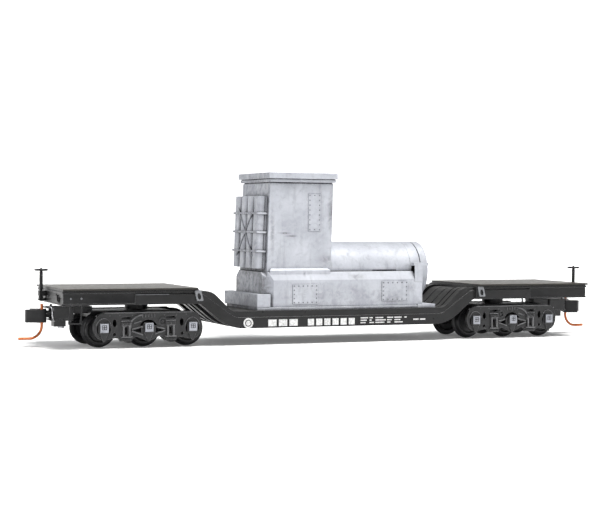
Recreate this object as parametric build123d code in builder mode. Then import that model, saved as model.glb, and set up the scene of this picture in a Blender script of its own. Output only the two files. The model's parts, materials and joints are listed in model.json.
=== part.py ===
"""Model flat car with a depressed centre, for 9 mm gauge track, carrying a cast machine load.

Frame: X along the car, Y across it, Z up, with Z = 0 at the lowest point of the wheel flanges.
The car has half-turn symmetry about Z: end "a" is at -X and end "b" is at +X.
"""
import os
from math import atan2, degrees

from build123d import *

os.makedirs("parts", exist_ok=True)

# ---- driving dimensions (mm) -------------------------------------------------------------
TREAD_RADIUS = 2.60
FLANGE_RADIUS = 3.13
AXLE_Z = FLANGE_RADIUS
WHEEL_BACK_Y = 3.80
WHEEL_FACE_Y = 5.35
AXLE_RADIUS = 0.50
JOURNAL_RADIUS = 0.35
RUNNING_CLEARANCE = 0.04
JOURNAL_END_Y = 7.30

TRUCK_X = 36.35
AXLE_PITCH = 8.0
SIDEFRAME_INNER_Y = 6.75
SIDEFRAME_OUTER_Y = 7.55
JOURNAL_BOX_Y = 8.02
JOURNAL_LID_Y = 8.16
LID_Z = 3.61
PLATE_TOP_Z = 6.30
PLATE_BOTTOM_Z = 5.15

DECK_HALF_LENGTH = 52.0
DECK_HALF_WIDTH = 9.78
DECK_INNER_X = 28.0
DECK_TOP = 10.47
DECK_THICK = 0.35
PLATFORM_TOP = DECK_TOP - DECK_THICK
PLATFORM_BOTTOM = 7.65
PLATFORM_HALF_WIDTH = 9.13
PLATFORM_END_X = 51.84
PLATFORM_INNER_X = 27.6

WELL_TOP = 6.15
WELL_BOTTOM = 3.08
NECK_TOP = 9.80
SLAT_PITCH = 3.05
SLAT_WIDTH = 2.65
SLAT_DROP = 0.25
SLAT_DEPTH = 1.1
RIB_WIDTH = 1.3
GIRDER_END_X = 28.4
WELL_HALF_WIDTH = 8.55
WEB_HALF_WIDTH = 8.30

BOSS_RADIUS = 2.05
BOSS_BOTTOM = 6.40
PIN_RADIUS = 1.00
PIN_TOP = 9.0

PIVOT_X = 13.60          # coupler pivot, outward from the truck centre
POST_RADIUS = 0.50
BOX_MOUTH_X = 15.35
BOX_BACK_X = 11.90
BOX_HALF_WIDTH = 2.00
BOX_TOP = 7.05
BOX_FLOOR = 4.90
HEAD_BOTTOM = 4.20
HEAD_TOP = 6.65
TRIP_PIN_RADIUS = 0.24
TRIP_PIN_X = 3.50
TRIP_PIN_Y = -0.42

STAFF_X = 52.64
STAFF_Y = 3.60
STAFF_RADIUS = 0.23
STAFF_TOP = 13.45

LOAD_NEAR_Y = -7.40
LOAD_FAR_Y = 8.10
BASE_LEFT_X = -14.70
BASE_RIGHT_X = 17.05
BASE_BOTTOM = 6.65
BASE_TOP = 12.95
SHOULDER_RUN = 0.65
SHOULDER_DROP = 1.45
END_SHOULDER_RUN = 1.85
END_SHOULDER_X = -13.97
HIP_X = 15.54
HIP_Z = 11.20
COLLAR_TOP = 13.65
TOWER_TOP = 29.05
TOWER_NEAR_Y = -6.50
TOWER_FAR_Y = 7.30
CAP_TOP = 30.90
BARREL_RADIUS = 5.40
BARREL_END_X = 17.60
FLANGE_START_X = 17.72
FLANGE_END_X = 19.25

ENDS = {"a": -1, "b": 1}


# ---- helpers ------------------------------------------------------------------------------
def block(x0, x1, y0, y1, z0, z1, mode=Mode.ADD):
    """A rectangular block given by its limits, in the open part."""
    with Locations(((x0 + x1) / 2, (y0 + y1) / 2, (z0 + z1) / 2)):
        Box(abs(x1 - x0), abs(y1 - y0), abs(z1 - z0), mode=mode)


def slab(corners, y0, y1, mode=Mode.ADD):
    """A closed (x, z) outline extruded across the car from y0 to y1."""
    with BuildSketch(Plane.XZ.offset(-y0)) as face:
        with BuildLine():
            Polyline(*corners, close=True)
        make_face()
    extrude(face.sketch, amount=y0 - y1, mode=mode)


def flat(corners, z0, z1, mode=Mode.ADD):
    """A closed (x, y) outline extruded upward from z0 to z1."""
    with BuildSketch(Plane.XY.offset(z0)) as face:
        with BuildLine():
            Polyline(*corners, close=True)
        make_face()
    extrude(face.sketch, amount=z1 - z0, mode=mode)


def post(x, y, z0, z1, radius, mode=Mode.ADD):
    """A round upright of the given radius from z0 to z1."""
    with Locations((x, y, (z0 + z1) / 2)):
        Cylinder(radius, z1 - z0, mode=mode)


def crosswise(x, z, y0, y1, radius, mode=Mode.ADD):
    """A round bar or hole across the car from y0 to y1."""
    with Locations(Location((x, (y0 + y1) / 2, z), (90, 0, 0))):
        Cylinder(radius, abs(y1 - y0), mode=mode)


def finish(solid, label):
    """Name a finished piece and write its STEP file."""
    solid.label = label
    export_step(solid, f"parts/{label}.step")


def at_end(solid, side, x=0.0):
    """Place a piece drawn for end a (outward is -X) at its own end of the car."""
    turn = 0 if side < 0 else 180
    return solid.moved(Location((side * x, 0, 0), (0, 0, turn)))


# ---- underframe: five curved slats on ribs, the well floor and two end platforms -------------
def neck_chain(low, high, low_x, high_x):
    """The corners of a level run with a raised run at each end."""
    right = [(low_x, low), (high_x, high), (GIRDER_END_X, high)]
    left = [(-x, z) for x, z in reversed(right)]
    return left + right


TOP_CHAIN = neck_chain(WELL_TOP, NECK_TOP, 21.2, 25.0)
INNER_TOP_CHAIN = neck_chain(WELL_TOP - SLAT_DROP, NECK_TOP - SLAT_DROP, 21.3, 25.1)
SLAT_FOOT_CHAIN = neck_chain(WELL_TOP - SLAT_DEPTH, NECK_TOP - SLAT_DEPTH, 21.6, 25.5)
LEDGE_CHAIN = neck_chain(5.03, 9.30, 20.65, 26.75)
BOTTOM_CHAIN = neck_chain(WELL_BOTTOM, PLATFORM_BOTTOM, 21.75, 27.3)
TOP_RADII = (3.0, 2.0, 2.0, 3.0)
LEDGE_RADII = (1.0, 2.5, 2.5, 1.0)
BOTTOM_RADII = (1.2, 8.0, 8.0, 1.2)


def girder(top, top_radii, bottom, bottom_radii, y0, y1):
    """One curved bar between y0 and y1, from the bottom chain up to the top chain."""
    with BuildSketch(Plane.XZ.offset(-y0)) as face:
        with BuildLine():
            FilletPolyline(*top, radius=top_radii)
            FilletPolyline(*bottom, radius=bottom_radii)
            Line(top[0], bottom[0])
            Line(top[-1], bottom[-1])
        make_face()
    extrude(face.sketch, amount=y0 - y1)


with BuildPart() as underframe:
    groove_half = (SLAT_PITCH - SLAT_WIDTH) / 2
    outer_slat_y = 1.5 * SLAT_PITCH + groove_half
    for side in (-1, 1):
        # outer girder: slat, deep web and the narrow ledge outside it
        girder(TOP_CHAIN, TOP_RADII, SLAT_FOOT_CHAIN, TOP_RADII, side * outer_slat_y, side * WEB_HALF_WIDTH)
        girder(TOP_CHAIN, TOP_RADII, BOTTOM_CHAIN, BOTTOM_RADII,
               side * (WEB_HALF_WIDTH - RIB_WIDTH), side * WEB_HALF_WIDTH)
        girder(LEDGE_CHAIN, LEDGE_RADII, BOTTOM_CHAIN, BOTTOM_RADII,
               side * WEB_HALF_WIDTH, side * WELL_HALF_WIDTH)
    for row in (-1, 0, 1):
        y = row * SLAT_PITCH
        girder(INNER_TOP_CHAIN, TOP_RADII, SLAT_FOOT_CHAIN, TOP_RADII,
               y - SLAT_WIDTH / 2, y + SLAT_WIDTH / 2)
        girder(INNER_TOP_CHAIN, TOP_RADII, BOTTOM_CHAIN, BOTTOM_RADII,
               y - RIB_WIDTH / 2, y + RIB_WIDTH / 2)
    # floor of the well and the diaphragms between its girders
    block(-20.3, 20.3, -WEB_HALF_WIDTH, WEB_HALF_WIDTH, WELL_TOP - 1.0, WELL_TOP)
    for x in (-17.0, -8.5, 0, 8.5, 17.0):
        block(x - 0.3, x + 0.3, -WEB_HALF_WIDTH, WEB_HALF_WIDTH, 3.5, WELL_TOP - 0.5)
    for end in (-1, 1):
        x0 = end * PLATFORM_INNER_X
        x1 = end * PLATFORM_END_X
        half = PLATFORM_HALF_WIDTH
        block(x0, x1, -half, half, PLATFORM_BOTTOM, PLATFORM_TOP)
        # pockets in the underside leave side sills, a centre sill and cross bearers
        for bay_x, bay_end in ((28.9, 33.9), (38.8, 42.6), (43.2, 47.0), (47.6, 51.0)):
            for near, far in ((1.9, 4.9), (5.4, 8.3)):
                for hand in (-1, 1):
                    block(end * bay_x, end * bay_end, hand * near, hand * far,
                          PLATFORM_BOTTOM, 9.4, Mode.SUBTRACT)
        for hand in (-1, 1):
            # top flange, lower doubler plate on the inner half, bottom flange and the groove between
            block(end * 27.9, end * 51.95, hand * half, hand * (half + 0.14), 9.66, 9.96)
            block(end * 27.9, end * 39.3, hand * half, hand * (half + 0.22), PLATFORM_BOTTOM, 9.38)
            block(end * 39.3, end * 51.9, hand * half, hand * (half + 0.1), PLATFORM_BOTTOM, 7.9)
            block(end * 27.9, end * 39.3, hand * (half - 0.45), hand * (half + 0.3),
                  9.40, 9.64, Mode.SUBTRACT)
        # round body bolster boss, bored for the truck pin
        post(end * TRUCK_X, 0, BOSS_BOTTOM, PLATFORM_BOTTOM + 0.2, BOSS_RADIUS)
        post(end * TRUCK_X, 0, BOSS_BOTTOM - 0.1, PIN_TOP, PIN_RADIUS, Mode.SUBTRACT)
        # end sill: hole for the uncoupling rod and its curved bracket
        with Locations(Location((end * PLATFORM_END_X, end * 4.45, 9.3), (0, 90, 0))):
            Cylinder(0.28, 1.2, mode=Mode.SUBTRACT)
        block(x1, x1 + end * 0.14, -half + 0.1, half - 0.1, 9.66, 9.96)
        block(x1, x1 + end * 0.14, -half + 0.1, half - 0.1, PLATFORM_BOTTOM, 7.9)
finish(underframe.part, "underframe")

for name, end in ENDS.items():
    with BuildPart() as deck_plate:
        block(end * DECK_INNER_X, end * DECK_HALF_LENGTH, -DECK_HALF_WIDTH, DECK_HALF_WIDTH,
              PLATFORM_TOP, DECK_TOP)
        rim = deck_plate.faces().sort_by(Axis.Z)[-1].edges()
        fillet(rim, 0.08)
    finish(deck_plate.part, f"deck_plate_{name}")

# roping eyes: a leaning plate with an oval hole at each inner corner of the end platforms
EYE_NEAR_END_X = {-1: -28.00, 1: 28.30}
EYE_TOP = 10.03
EYE_BOTTOM = 8.15
EYE_LEAN = 11
EYE_THICK = 0.24
with BuildPart() as roping_eyes:
    for end, near_x in EYE_NEAR_END_X.items():
        for hand in (-1, 1):
            # the far side is the near side turned half round
            lean = -hand
            x = near_x if hand < 0 else -EYE_NEAR_END_X[-end]
            face_y = hand * (PLATFORM_HALF_WIDTH + 0.22)
            outline = [(x - 0.45 * lean, EYE_TOP), (x + 0.50 * lean, EYE_TOP), (x + 0.64 * lean, EYE_TOP - 0.2),
                       (x + 1.02 * lean, EYE_BOTTOM + 0.1), (x + 0.92 * lean, EYE_BOTTOM),
                       (x - 0.18 * lean, EYE_BOTTOM), (x - 0.58 * lean, EYE_TOP - 0.2)]
            slab(outline, face_y, face_y + hand * EYE_THICK)
            with BuildSketch(Plane.XZ.offset(-face_y)) as eye_hole:
                with Locations((x + 0.26 * lean, 8.92)):
                    Ellipse(0.34, 0.58, rotation=EYE_LEAN * lean)
            extrude(eye_hole.sketch, amount=0.6, both=True, mode=Mode.SUBTRACT)
finish(roping_eyes.part, "roping_eyes")

# sill steps: a stirrup of flat strip under the side sill at the a-near and b-far corners
STEP_X = 49.58
STEP_HALF = 1.0
STEP_LEAN = 0.27
STEP_BOTTOM = 4.45
STEP_TREAD = 0.22
STRIP_HALF = 0.14
with BuildPart() as sill_steps:
    for end, hand in ((-1, -1), (1, 1)):
        y0 = hand * (PLATFORM_HALF_WIDTH - 0.06)
        y1 = hand * (PLATFORM_HALF_WIDTH + 0.10)
        lean = STEP_LEAN * end
        for leg in (-STEP_HALF, STEP_HALF):
            x = end * STEP_X + leg
            slab([(x - STRIP_HALF, PLATFORM_BOTTOM), (x + STRIP_HALF, PLATFORM_BOTTOM),
                  (x + STRIP_HALF + lean, STEP_BOTTOM), (x - STRIP_HALF + lean, STEP_BOTTOM)], y0, y1)
        tread = end * STEP_X + lean
        block(tread - STEP_HALF - STRIP_HALF, tread + STEP_HALF + STRIP_HALF, y0, y0 + hand * 0.55,
              STEP_BOTTOM, STEP_BOTTOM + STEP_TREAD)
finish(sill_steps.part, "sill_steps")

# brackets that carry the brake staffs on the end sills
with BuildPart() as brake_brackets:
    for end in (-1, 1):
        y = -end * STAFF_Y
        wall = end * (PLATFORM_END_X + 0.14)
        block(wall, end * (STAFF_X + 0.45), y - 0.6, y + 0.6, 8.75, 9.6)
        block(wall, end * (STAFF_X + 0.42), y - 0.42, y + 0.42, 7.92, 8.3)
        block(end * PLATFORM_END_X, wall, y - 0.42, y + 0.42, 7.92, 9.6)
        post(end * STAFF_X, y, 7.5, 10.0, STAFF_RADIUS + RUNNING_CLEARANCE, Mode.SUBTRACT)
finish(brake_brackets.part, "brake_brackets")

# ---- brake staffs with their horizontal hand wheels -------------------------------------------
for name, end in ENDS.items():
    x = end * STAFF_X
    y = -end * STAFF_Y
    with BuildPart() as brake_staff:
        post(x, y, 7.8, STAFF_TOP, STAFF_RADIUS)
        post(x, y, 8.33, 8.7, STAFF_RADIUS + 0.15)
        post(x, y, STAFF_TOP, 13.65, 0.16)
    finish(brake_staff.part, f"brake_staff_{name}")
    with BuildPart() as hand_wheel:
        with Locations((x, y, 13.30)):
            Torus(1.02, 0.15)
            Cylinder(0.38, 0.3)
            for angle in (0, 45, 90, 135):
                with Locations(Location((0, 0, 0), (0, 0, angle))):
                    Box(2.04, 0.2, 0.16)
        post(x, y, 13.0, 13.6, STAFF_RADIUS, Mode.SUBTRACT)
    finish(hand_wheel.part, f"hand_wheel_{name}")

# ---- trucks: three-axle frames with side frames, drawn for end a about the truck centre ---------
PEDESTAL_X = (-AXLE_PITCH, 0, AXLE_PITCH)
SPRING_X = (-4.0, 4.0)
BAR_HALF_SPACING = 0.54
BAR_HALF_WIDTH = 0.19
RIGHT_HALF_OUTLINE = [(0, 6.30), (7.9, 6.28), (8.8, 5.95), (9.45, 5.2), (9.8, 4.2), (9.75, 3.1),
                      (9.4, 2.2), (8.8, 1.68), (8.0, 1.42), (7.0, 1.62), (6.2, 1.8), (5.3, 1.75),
                      (4.95, 1.2), (3.05, 1.2), (2.75, 1.75), (2.2, 2.1), (0, 1.12)]
BOX_HALF_X = 0.79
BOX_HALF_Z = 0.86
LID_HALF_X = 0.73
LID_HALF_Z = 0.76


def sideframe(hand):
    """One cast side frame, with its windows, spring groups and journal boxes."""
    inner = hand * SIDEFRAME_INNER_Y
    outer = hand * SIDEFRAME_OUTER_Y
    beyond = outer + hand * 0.5
    left = [(-x, z) for x, z in reversed(RIGHT_HALF_OUTLINE[1:-1])]
    slab(RIGHT_HALF_OUTLINE + left, inner, outer)
    # round pedestal openings at the end axles, pierced behind the journal boxes
    for x in (-AXLE_PITCH, AXLE_PITCH):
        crosswise(x, 3.35, inner, beyond, 1.25, Mode.SUBTRACT)
        slab([(x - 0.95, 5.2), (x + 0.95, 5.2), (x + 0.95, 2.7), (x, 1.42), (x - 0.95, 2.7)],
             inner, outer)
    # crescent over the middle box and a triangular window on each side of it
    crescent_z = 3.2
    with BuildSketch(Plane.XZ.offset(-inner)) as crescent:
        with Locations((0, crescent_z)):
            Circle(1.75)
            Circle(1.32, mode=Mode.SUBTRACT)
        with Locations((0, crescent_z - 1.35)):
            Rectangle(4.0, 4.0, mode=Mode.SUBTRACT)
    extrude(crescent.sketch, amount=-hand * 1.4, mode=Mode.SUBTRACT)
    for way in (-1, 1):
        slab([(way * 2.75, 3.05), (way * 1.3, 3.6), (way * 1.3, 2.6)], inner, beyond, Mode.SUBTRACT)
    for x in SPRING_X:
        way = 1 if x > 0 else -1
        with BuildSketch(Plane.XZ.offset(-inner)) as windows:
            with Locations((x, 5.3)):
                Ellipse(0.95, 0.22)
            with Locations((x + way * 2.05, 4.42)):
                Ellipse(0.38, 0.66)
            with Locations((x + way * 2.1, 2.45)):
                Circle(0.28)
            with Locations((x, 3.0)):
                Rectangle(0.5, 1.3)
        extrude(windows.sketch, amount=-hand * 1.4, mode=Mode.SUBTRACT)
        # bolster end bar, spring seat with its peg, the two spring bars, and the plank with its foot
        block(x - 0.95, x + 0.95, outer, outer + hand * 0.2, 4.66, 4.88)
        block(x - 0.85, x + 0.85, outer, outer + hand * 0.3, 3.87, 4.52)
        block(x - 0.1, x + 0.1, outer, outer + hand * 0.38, 4.0, 4.4)
        for bar in (-BAR_HALF_SPACING, BAR_HALF_SPACING):
            block(x + bar - BAR_HALF_WIDTH, x + bar + BAR_HALF_WIDTH, outer, outer + hand * 0.3, 2.1, 3.87)
        block(x - 1.05, x + 1.05, outer, outer + hand * 0.36, 1.84, 2.1)
        block(x - 0.8, x + 0.8, outer, outer + hand * 0.2, 1.25, 1.66)
    # rimmed round recess beside the middle box
    crosswise(2.55, 4.6, outer, outer + hand * 0.16, 0.75)
    crosswise(2.55, 4.6, outer - hand * 0.1, outer + hand * 0.3, 0.55, Mode.SUBTRACT)
    crosswise(2.55, 4.6, outer - hand * 0.1, outer + hand * 0.1, 0.18)
    # top lip and journal boxes with a wedge under each
    block(-7.9, 7.9, outer, outer + hand * 0.18, 6.08, 6.28)
    for x in PEDESTAL_X:
        block(x - BOX_HALF_X, x + BOX_HALF_X, outer, hand * JOURNAL_BOX_Y,
              LID_Z - BOX_HALF_Z, LID_Z + BOX_HALF_Z)
        slab([(x - 0.8, 2.75), (x + 0.8, 2.75), (x + 0.12, 1.2), (x - 0.12, 1.2)],
             outer, outer + hand * 0.3)
        crosswise(x, AXLE_Z, hand * 6.0, hand * (JOURNAL_END_Y + 0.1),
                  JOURNAL_RADIUS + RUNNING_CLEARANCE, Mode.SUBTRACT)


with BuildPart() as truck_frame:
    for hand in (-1, 1):
        sideframe(hand)
    # cross bolsters between the axles and the centre plate over the middle axle
    for x in (-4.0, 4.0):
        block(x - 0.65, x + 0.65, -SIDEFRAME_INNER_Y, SIDEFRAME_INNER_Y, 4.4, 5.95)
    block(-9.2, 5.2, -3.2, 3.2, PLATE_BOTTOM_Z, PLATE_TOP_Z)
    post(0, 0, PLATE_BOTTOM_Z - 0.1, PLATE_TOP_Z + 0.1, PIN_RADIUS + 0.05, Mode.SUBTRACT)
    # tongue that carries the coupler box
    block(-12.4, -8.45, -1.6, 1.6, 5.85, BOX_TOP)
    block(-BOX_MOUTH_X, -BOX_BACK_X, -BOX_HALF_WIDTH, BOX_HALF_WIDTH, BOX_FLOOR, BOX_TOP)
    block(-BOX_MOUTH_X - 1, -BOX_BACK_X - 0.4, -1.6, 1.6, BOX_FLOOR - 1, 6.65, Mode.SUBTRACT)
    post(-PIVOT_X, 0, BOX_FLOOR, 6.75, POST_RADIUS)
    post(-PIVOT_X, 0, BOX_FLOOR - 0.1, 6.3, 0.25, Mode.SUBTRACT)
    post(-BOX_MOUTH_X + 0.3, 1.4, BOX_TOP, 7.4, 0.2)

with BuildPart() as journal_lids:
    for hand in (-1, 1):
        for x in PEDESTAL_X:
            block(x - LID_HALF_X, x + LID_HALF_X, hand * JOURNAL_BOX_Y, hand * JOURNAL_LID_Y,
                  LID_Z - LID_HALF_Z, LID_Z + LID_HALF_Z)
            # a square window with four small panes
            with Locations((x, hand * JOURNAL_LID_Y, LID_Z + 0.1)):
                Box(0.86, 0.14, 0.80, mode=Mode.SUBTRACT)
            for dx in (-0.2, 0.2):
                for dz in (-0.18, 0.18):
                    with Locations((x + dx, hand * (JOURNAL_LID_Y - 0.06), LID_Z + 0.1 + dz)):
                        Box(0.28, 0.08, 0.24)

with BuildPart() as coupler_box_lid:
    block(-BOX_MOUTH_X, -BOX_BACK_X, -BOX_HALF_WIDTH, BOX_HALF_WIDTH, BOX_FLOOR - 0.3, BOX_FLOOR)
    block(-15.1, -13.0, -1.1, 1.1, 3.55, BOX_FLOOR - 0.3)
    post(-PIVOT_X, 0, 3.4, BOX_FLOOR + 0.1, 0.25, Mode.SUBTRACT)

with BuildPart() as box_screw:
    post(-PIVOT_X, 0, 3.25, 3.55, 0.55)
    post(-PIVOT_X, 0, 3.55, 6.1, 0.25)
    block(-PIVOT_X - 0.6, -PIVOT_X + 0.6, -0.08, 0.08, 3.2, 3.4, Mode.SUBTRACT)

with BuildPart() as bolster_pin:
    post(0, 0, 5.08, PIN_TOP, PIN_RADIUS)
    post(0, 0, 4.75, 5.08, 1.65)
    block(-1.2, 1.2, -0.15, 0.15, 4.7, 4.9, Mode.SUBTRACT)

# centring spring: a small coil across the back of the coupler box
SPRING_LENGTH = 2.6
with BuildPart() as centring_spring:
    with BuildLine() as coil:
        Helix(0.42, SPRING_LENGTH, 0.2, center=(-12.57, -SPRING_LENGTH / 2, 5.8), direction=(0, 1, 0))
    with BuildSketch(Plane(origin=coil.line @ 0, z_dir=coil.line % 0)):
        Circle(0.06)
    sweep(path=coil.line)

TRUCK_PIECES = {
    "truck_frame": truck_frame,
    "journal_lids": journal_lids,
    "coupler_box_lid": coupler_box_lid,
    "box_screw": box_screw,
    "bolster_pin": bolster_pin,
    "centring_spring": centring_spring,
}
for name, end in ENDS.items():
    for piece, built in TRUCK_PIECES.items():
        finish(at_end(built.part, end, TRUCK_X), f"{piece}_{name}")

# ---- wheelsets: one turned profile (radius, distance from the car's centre line) ----------------
HALF_WHEELSET = [(AXLE_RADIUS, 0), (AXLE_RADIUS, 3.4), (1.0, WHEEL_BACK_Y - 0.1), (1.1, WHEEL_BACK_Y + 0.35),
                 (2.1, WHEEL_BACK_Y + 0.35), (2.25, WHEEL_BACK_Y), (2.95, WHEEL_BACK_Y),
                 (FLANGE_RADIUS, WHEEL_BACK_Y + 0.18), (FLANGE_RADIUS, WHEEL_BACK_Y + 0.3),
                 (2.72, WHEEL_BACK_Y + 0.52), (TREAD_RADIUS + 0.03, WHEEL_BACK_Y + 0.7),
                 (TREAD_RADIUS - 0.03, WHEEL_FACE_Y - 0.1), (TREAD_RADIUS - 0.12, WHEEL_FACE_Y),
                 (2.1, WHEEL_FACE_Y), (2.0, WHEEL_FACE_Y - 0.4), (0.95, WHEEL_FACE_Y - 0.25),
                 (0.85, WHEEL_FACE_Y + 0.05), (0.55, WHEEL_FACE_Y + 0.1), (AXLE_RADIUS, 6.3),
                 (JOURNAL_RADIUS, 6.5), (JOURNAL_RADIUS, 7.1), (0.1, JOURNAL_END_Y)]
with BuildPart() as wheelset:
    mirrored_half = [(r, -y) for r, y in reversed(HALF_WHEELSET[1:])]
    with BuildSketch(Plane.XY):
        with BuildLine():
            Polyline((0, -JOURNAL_END_Y), *mirrored_half, *HALF_WHEELSET, (0, JOURNAL_END_Y), close=True)
        make_face()
    revolve(axis=Axis.Y)

for name, end in ENDS.items():
    for number, x in enumerate(PEDESTAL_X, start=1):
        place = Location((end * (TRUCK_X - x), 0, AXLE_Z))
        finish(wheelset.part.moved(place), f"wheelset_{name}{number}")

# ---- couplers: two halves on one pivot, drawn for end a about the pivot --------------------------
GUARD_OUTLINE = [(-2.6, 0.06), (-4.05, 0.06), (-4.2, 0.4), (-4.65, 0.85), (-5.25, 1.4), (-4.95, 1.7),
                 (-4.2, 1.3), (-3.3, 1.05), (-2.6, 0.55)]
KNUCKLE_OUTLINE = [(-2.75, -0.06), (-4.25, -0.06), (-4.75, -0.2), (-5.35, 0.1), (-5.55, 0.45), (-6.0, 0.5),
                   (-6.35, 0.1), (-6.3, -0.7), (-5.6, -1.2), (-4.2, -1.3), (-3.2, -1.1), (-2.75, -0.75)]
with BuildPart() as coupler_guard_half:
    post(0, 0, 5.80, 6.35, 1.0)
    block(-2.62, 0, -0.55, 0.55, 5.80, 6.35)
    flat(GUARD_OUTLINE, HEAD_BOTTOM, HEAD_TOP)
    guard_edges = coupler_guard_half.edges().filter_by(Axis.Z).group_by(Axis.X)[0]
    fillet(guard_edges, 0.12)
    post(0, 0, 5.0, 7.0, POST_RADIUS + 0.06, Mode.SUBTRACT)

with BuildPart() as coupler_knuckle_half:
    post(0, 0, 5.15, 5.73, 1.0)
    block(-2.8, 0, -0.55, 0.55, 5.15, 5.73)
    block(-3.2, -2.5, 0.02, 0.8, 5.0, 5.9, Mode.SUBTRACT)
    flat(KNUCKLE_OUTLINE, HEAD_BOTTOM + 0.15, HEAD_TOP - 0.1)
    nose_edges = coupler_knuckle_half.edges().filter_by(Axis.Z).group_by(Axis.X)[0]
    fillet(nose_edges, 0.15)
    post(0, 0, 4.9, 6.0, POST_RADIUS + 0.06, Mode.SUBTRACT)
    post(-TRIP_PIN_X, TRIP_PIN_Y, 4.0, 7.0, TRIP_PIN_RADIUS, Mode.SUBTRACT)

TRIP_PIN_TOP = 7.55
TRIP_PIN_BEND_Z = 3.75
TRIP_PIN_LOW_Z = 1.55
TRIP_PIN_TIP_X = 7.60
bend_radius = TRIP_PIN_BEND_Z - TRIP_PIN_LOW_Z
with BuildPart() as trip_pin:
    pin_plane = Plane.XZ.offset(-TRIP_PIN_Y)
    with BuildLine(pin_plane) as pin_path:
        stem = Line((-TRIP_PIN_X, TRIP_PIN_TOP), (-TRIP_PIN_X, TRIP_PIN_BEND_Z))
        bend = TangentArc(stem @ 1, (-TRIP_PIN_X - bend_radius, TRIP_PIN_LOW_Z), tangent=stem % 1)
        Line(bend @ 1, (-TRIP_PIN_TIP_X, TRIP_PIN_LOW_Z + 0.02))
    with BuildSketch(Plane(origin=pin_path.line @ 0, z_dir=pin_path.line % 0)):
        Circle(TRIP_PIN_RADIUS)
    sweep(path=pin_path.line)

COUPLER_PIECES = {
    "coupler_guard_half": coupler_guard_half,
    "coupler_knuckle_half": coupler_knuckle_half,
    "trip_pin": trip_pin,
}
for name, end in ENDS.items():
    for piece, built in COUPLER_PIECES.items():
        finish(at_end(built.part, end, TRUCK_X + PIVOT_X), f"{piece}_{name}")

# ---- load: a cast machine on a base, with a tower, radiators and a half-round barrel -------------
PLATE_LEFT_X = -16.15
PLATE_RIGHT_X = 19.62
PLATE_FAR_Y = LOAD_FAR_Y + 0.25
with BuildPart() as base_block:
    flat([(BASE_LEFT_X, LOAD_NEAR_Y + 1.3), (BASE_LEFT_X + 1.75, LOAD_NEAR_Y),
          (BASE_RIGHT_X, LOAD_NEAR_Y), (BASE_RIGHT_X, LOAD_FAR_Y),
          (BASE_LEFT_X + 0.5, LOAD_FAR_Y), (BASE_LEFT_X + 0.2, LOAD_FAR_Y - 0.36),
          (BASE_LEFT_X + 0.2, 4.87), (BASE_LEFT_X, 4.87)], BASE_BOTTOM, BASE_TOP)
    # long shoulders on both sides and a hip on the right end
    for face_y, way in ((LOAD_NEAR_Y, 1), (LOAD_FAR_Y, -1)):
        for run, end_x in ((SHOULDER_RUN, BASE_RIGHT_X + 1), (END_SHOULDER_RUN, END_SHOULDER_X)):
            with BuildSketch(Plane.YZ.offset(BASE_LEFT_X - 1)):
                with BuildLine():
                    Polyline((face_y - way, BASE_TOP - SHOULDER_DROP), (face_y, BASE_TOP - SHOULDER_DROP),
                             (face_y + way * run, BASE_TOP), (face_y + way * run, BASE_TOP + 1),
                             (face_y - way, BASE_TOP + 1), close=True)
                make_face()
            extrude(amount=end_x - BASE_LEFT_X + 1, mode=Mode.SUBTRACT)
    slab([(HIP_X, BASE_TOP), (BASE_RIGHT_X, HIP_Z), (BASE_RIGHT_X + 1, HIP_Z), (BASE_RIGHT_X + 1, BASE_TOP + 1),
          (HIP_X, BASE_TOP + 1)], LOAD_NEAR_Y - 1, LOAD_FAR_Y + 1, Mode.SUBTRACT)

with BuildPart() as tower_collar:
    block(-13.5, -1.65, -6.95, 7.6, BASE_TOP - SHOULDER_DROP, COLLAR_TOP)
    collar_rim = tower_collar.faces().sort_by(Axis.Z)[-1].edges()
    chamfer(collar_rim, 0.4)

TOWER_FOOT = (-13.97, -1.34)
TOWER_HEAD = (-13.40, -0.93)
with BuildPart() as load_tower:
    for z, (x0, x1) in ((BASE_TOP, TOWER_FOOT), (TOWER_TOP, TOWER_HEAD)):
        with BuildSketch(Plane.XY.offset(z)):
            with Locations(((x0 + x1) / 2, (TOWER_NEAR_Y + TOWER_FAR_Y) / 2)):
                Rectangle(x1 - x0, TOWER_FAR_Y - TOWER_NEAR_Y)
    loft(ruled=True)
    # the foot reaches down over both shoulders
    block(*TOWER_FOOT, TOWER_NEAR_Y, TOWER_FAR_Y, BASE_TOP - SHOULDER_DROP, BASE_TOP)
    add(base_block.part, mode=Mode.SUBTRACT)

with BuildPart() as load_base:
    add(base_block.part)
    add(tower_collar.part)
    block(PLATE_LEFT_X, 15.95, -7.7, PLATE_FAR_Y, WELL_TOP, BASE_BOTTOM)
    block(15.95, PLATE_RIGHT_X, -7.75, PLATE_FAR_Y, WELL_TOP, BASE_BOTTOM + 0.16)
load_base_solid = load_base.part - load_tower.part

# low block across the left end, with a slanting gap in front of the base's chamfered corner
LOW_BLOCK_TOP = 9.05
with BuildPart() as load_plinth:
    flat([(PLATE_LEFT_X, -7.55), (-13.55, -7.55), (-13.55, -7.3), (BASE_LEFT_X - 0.2, -6.35),
          (BASE_LEFT_X - 0.2, PLATE_FAR_Y - 0.05), (PLATE_LEFT_X - 0.5, PLATE_FAR_Y - 0.05)],
         BASE_BOTTOM, LOW_BLOCK_TOP)

CAP_GROOVE = 29.72
with BuildPart() as load_cap:
    block(-13.2, -1.1, -6.3, 7.1, TOWER_TOP, 29.2)
    block(-13.58, -0.72, -7.15, 8.1, 29.2, CAP_GROOVE)
    block(-13.40, -0.85, -6.98, 7.9, CAP_GROOVE, CAP_GROOVE + 0.1)
    block(-13.83, -0.45, -7.40, 8.60, CAP_GROOVE + 0.1, CAP_TOP)
    fillet(load_cap.faces().sort_by(Axis.Z)[-1].edges(), 0.15)

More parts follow.
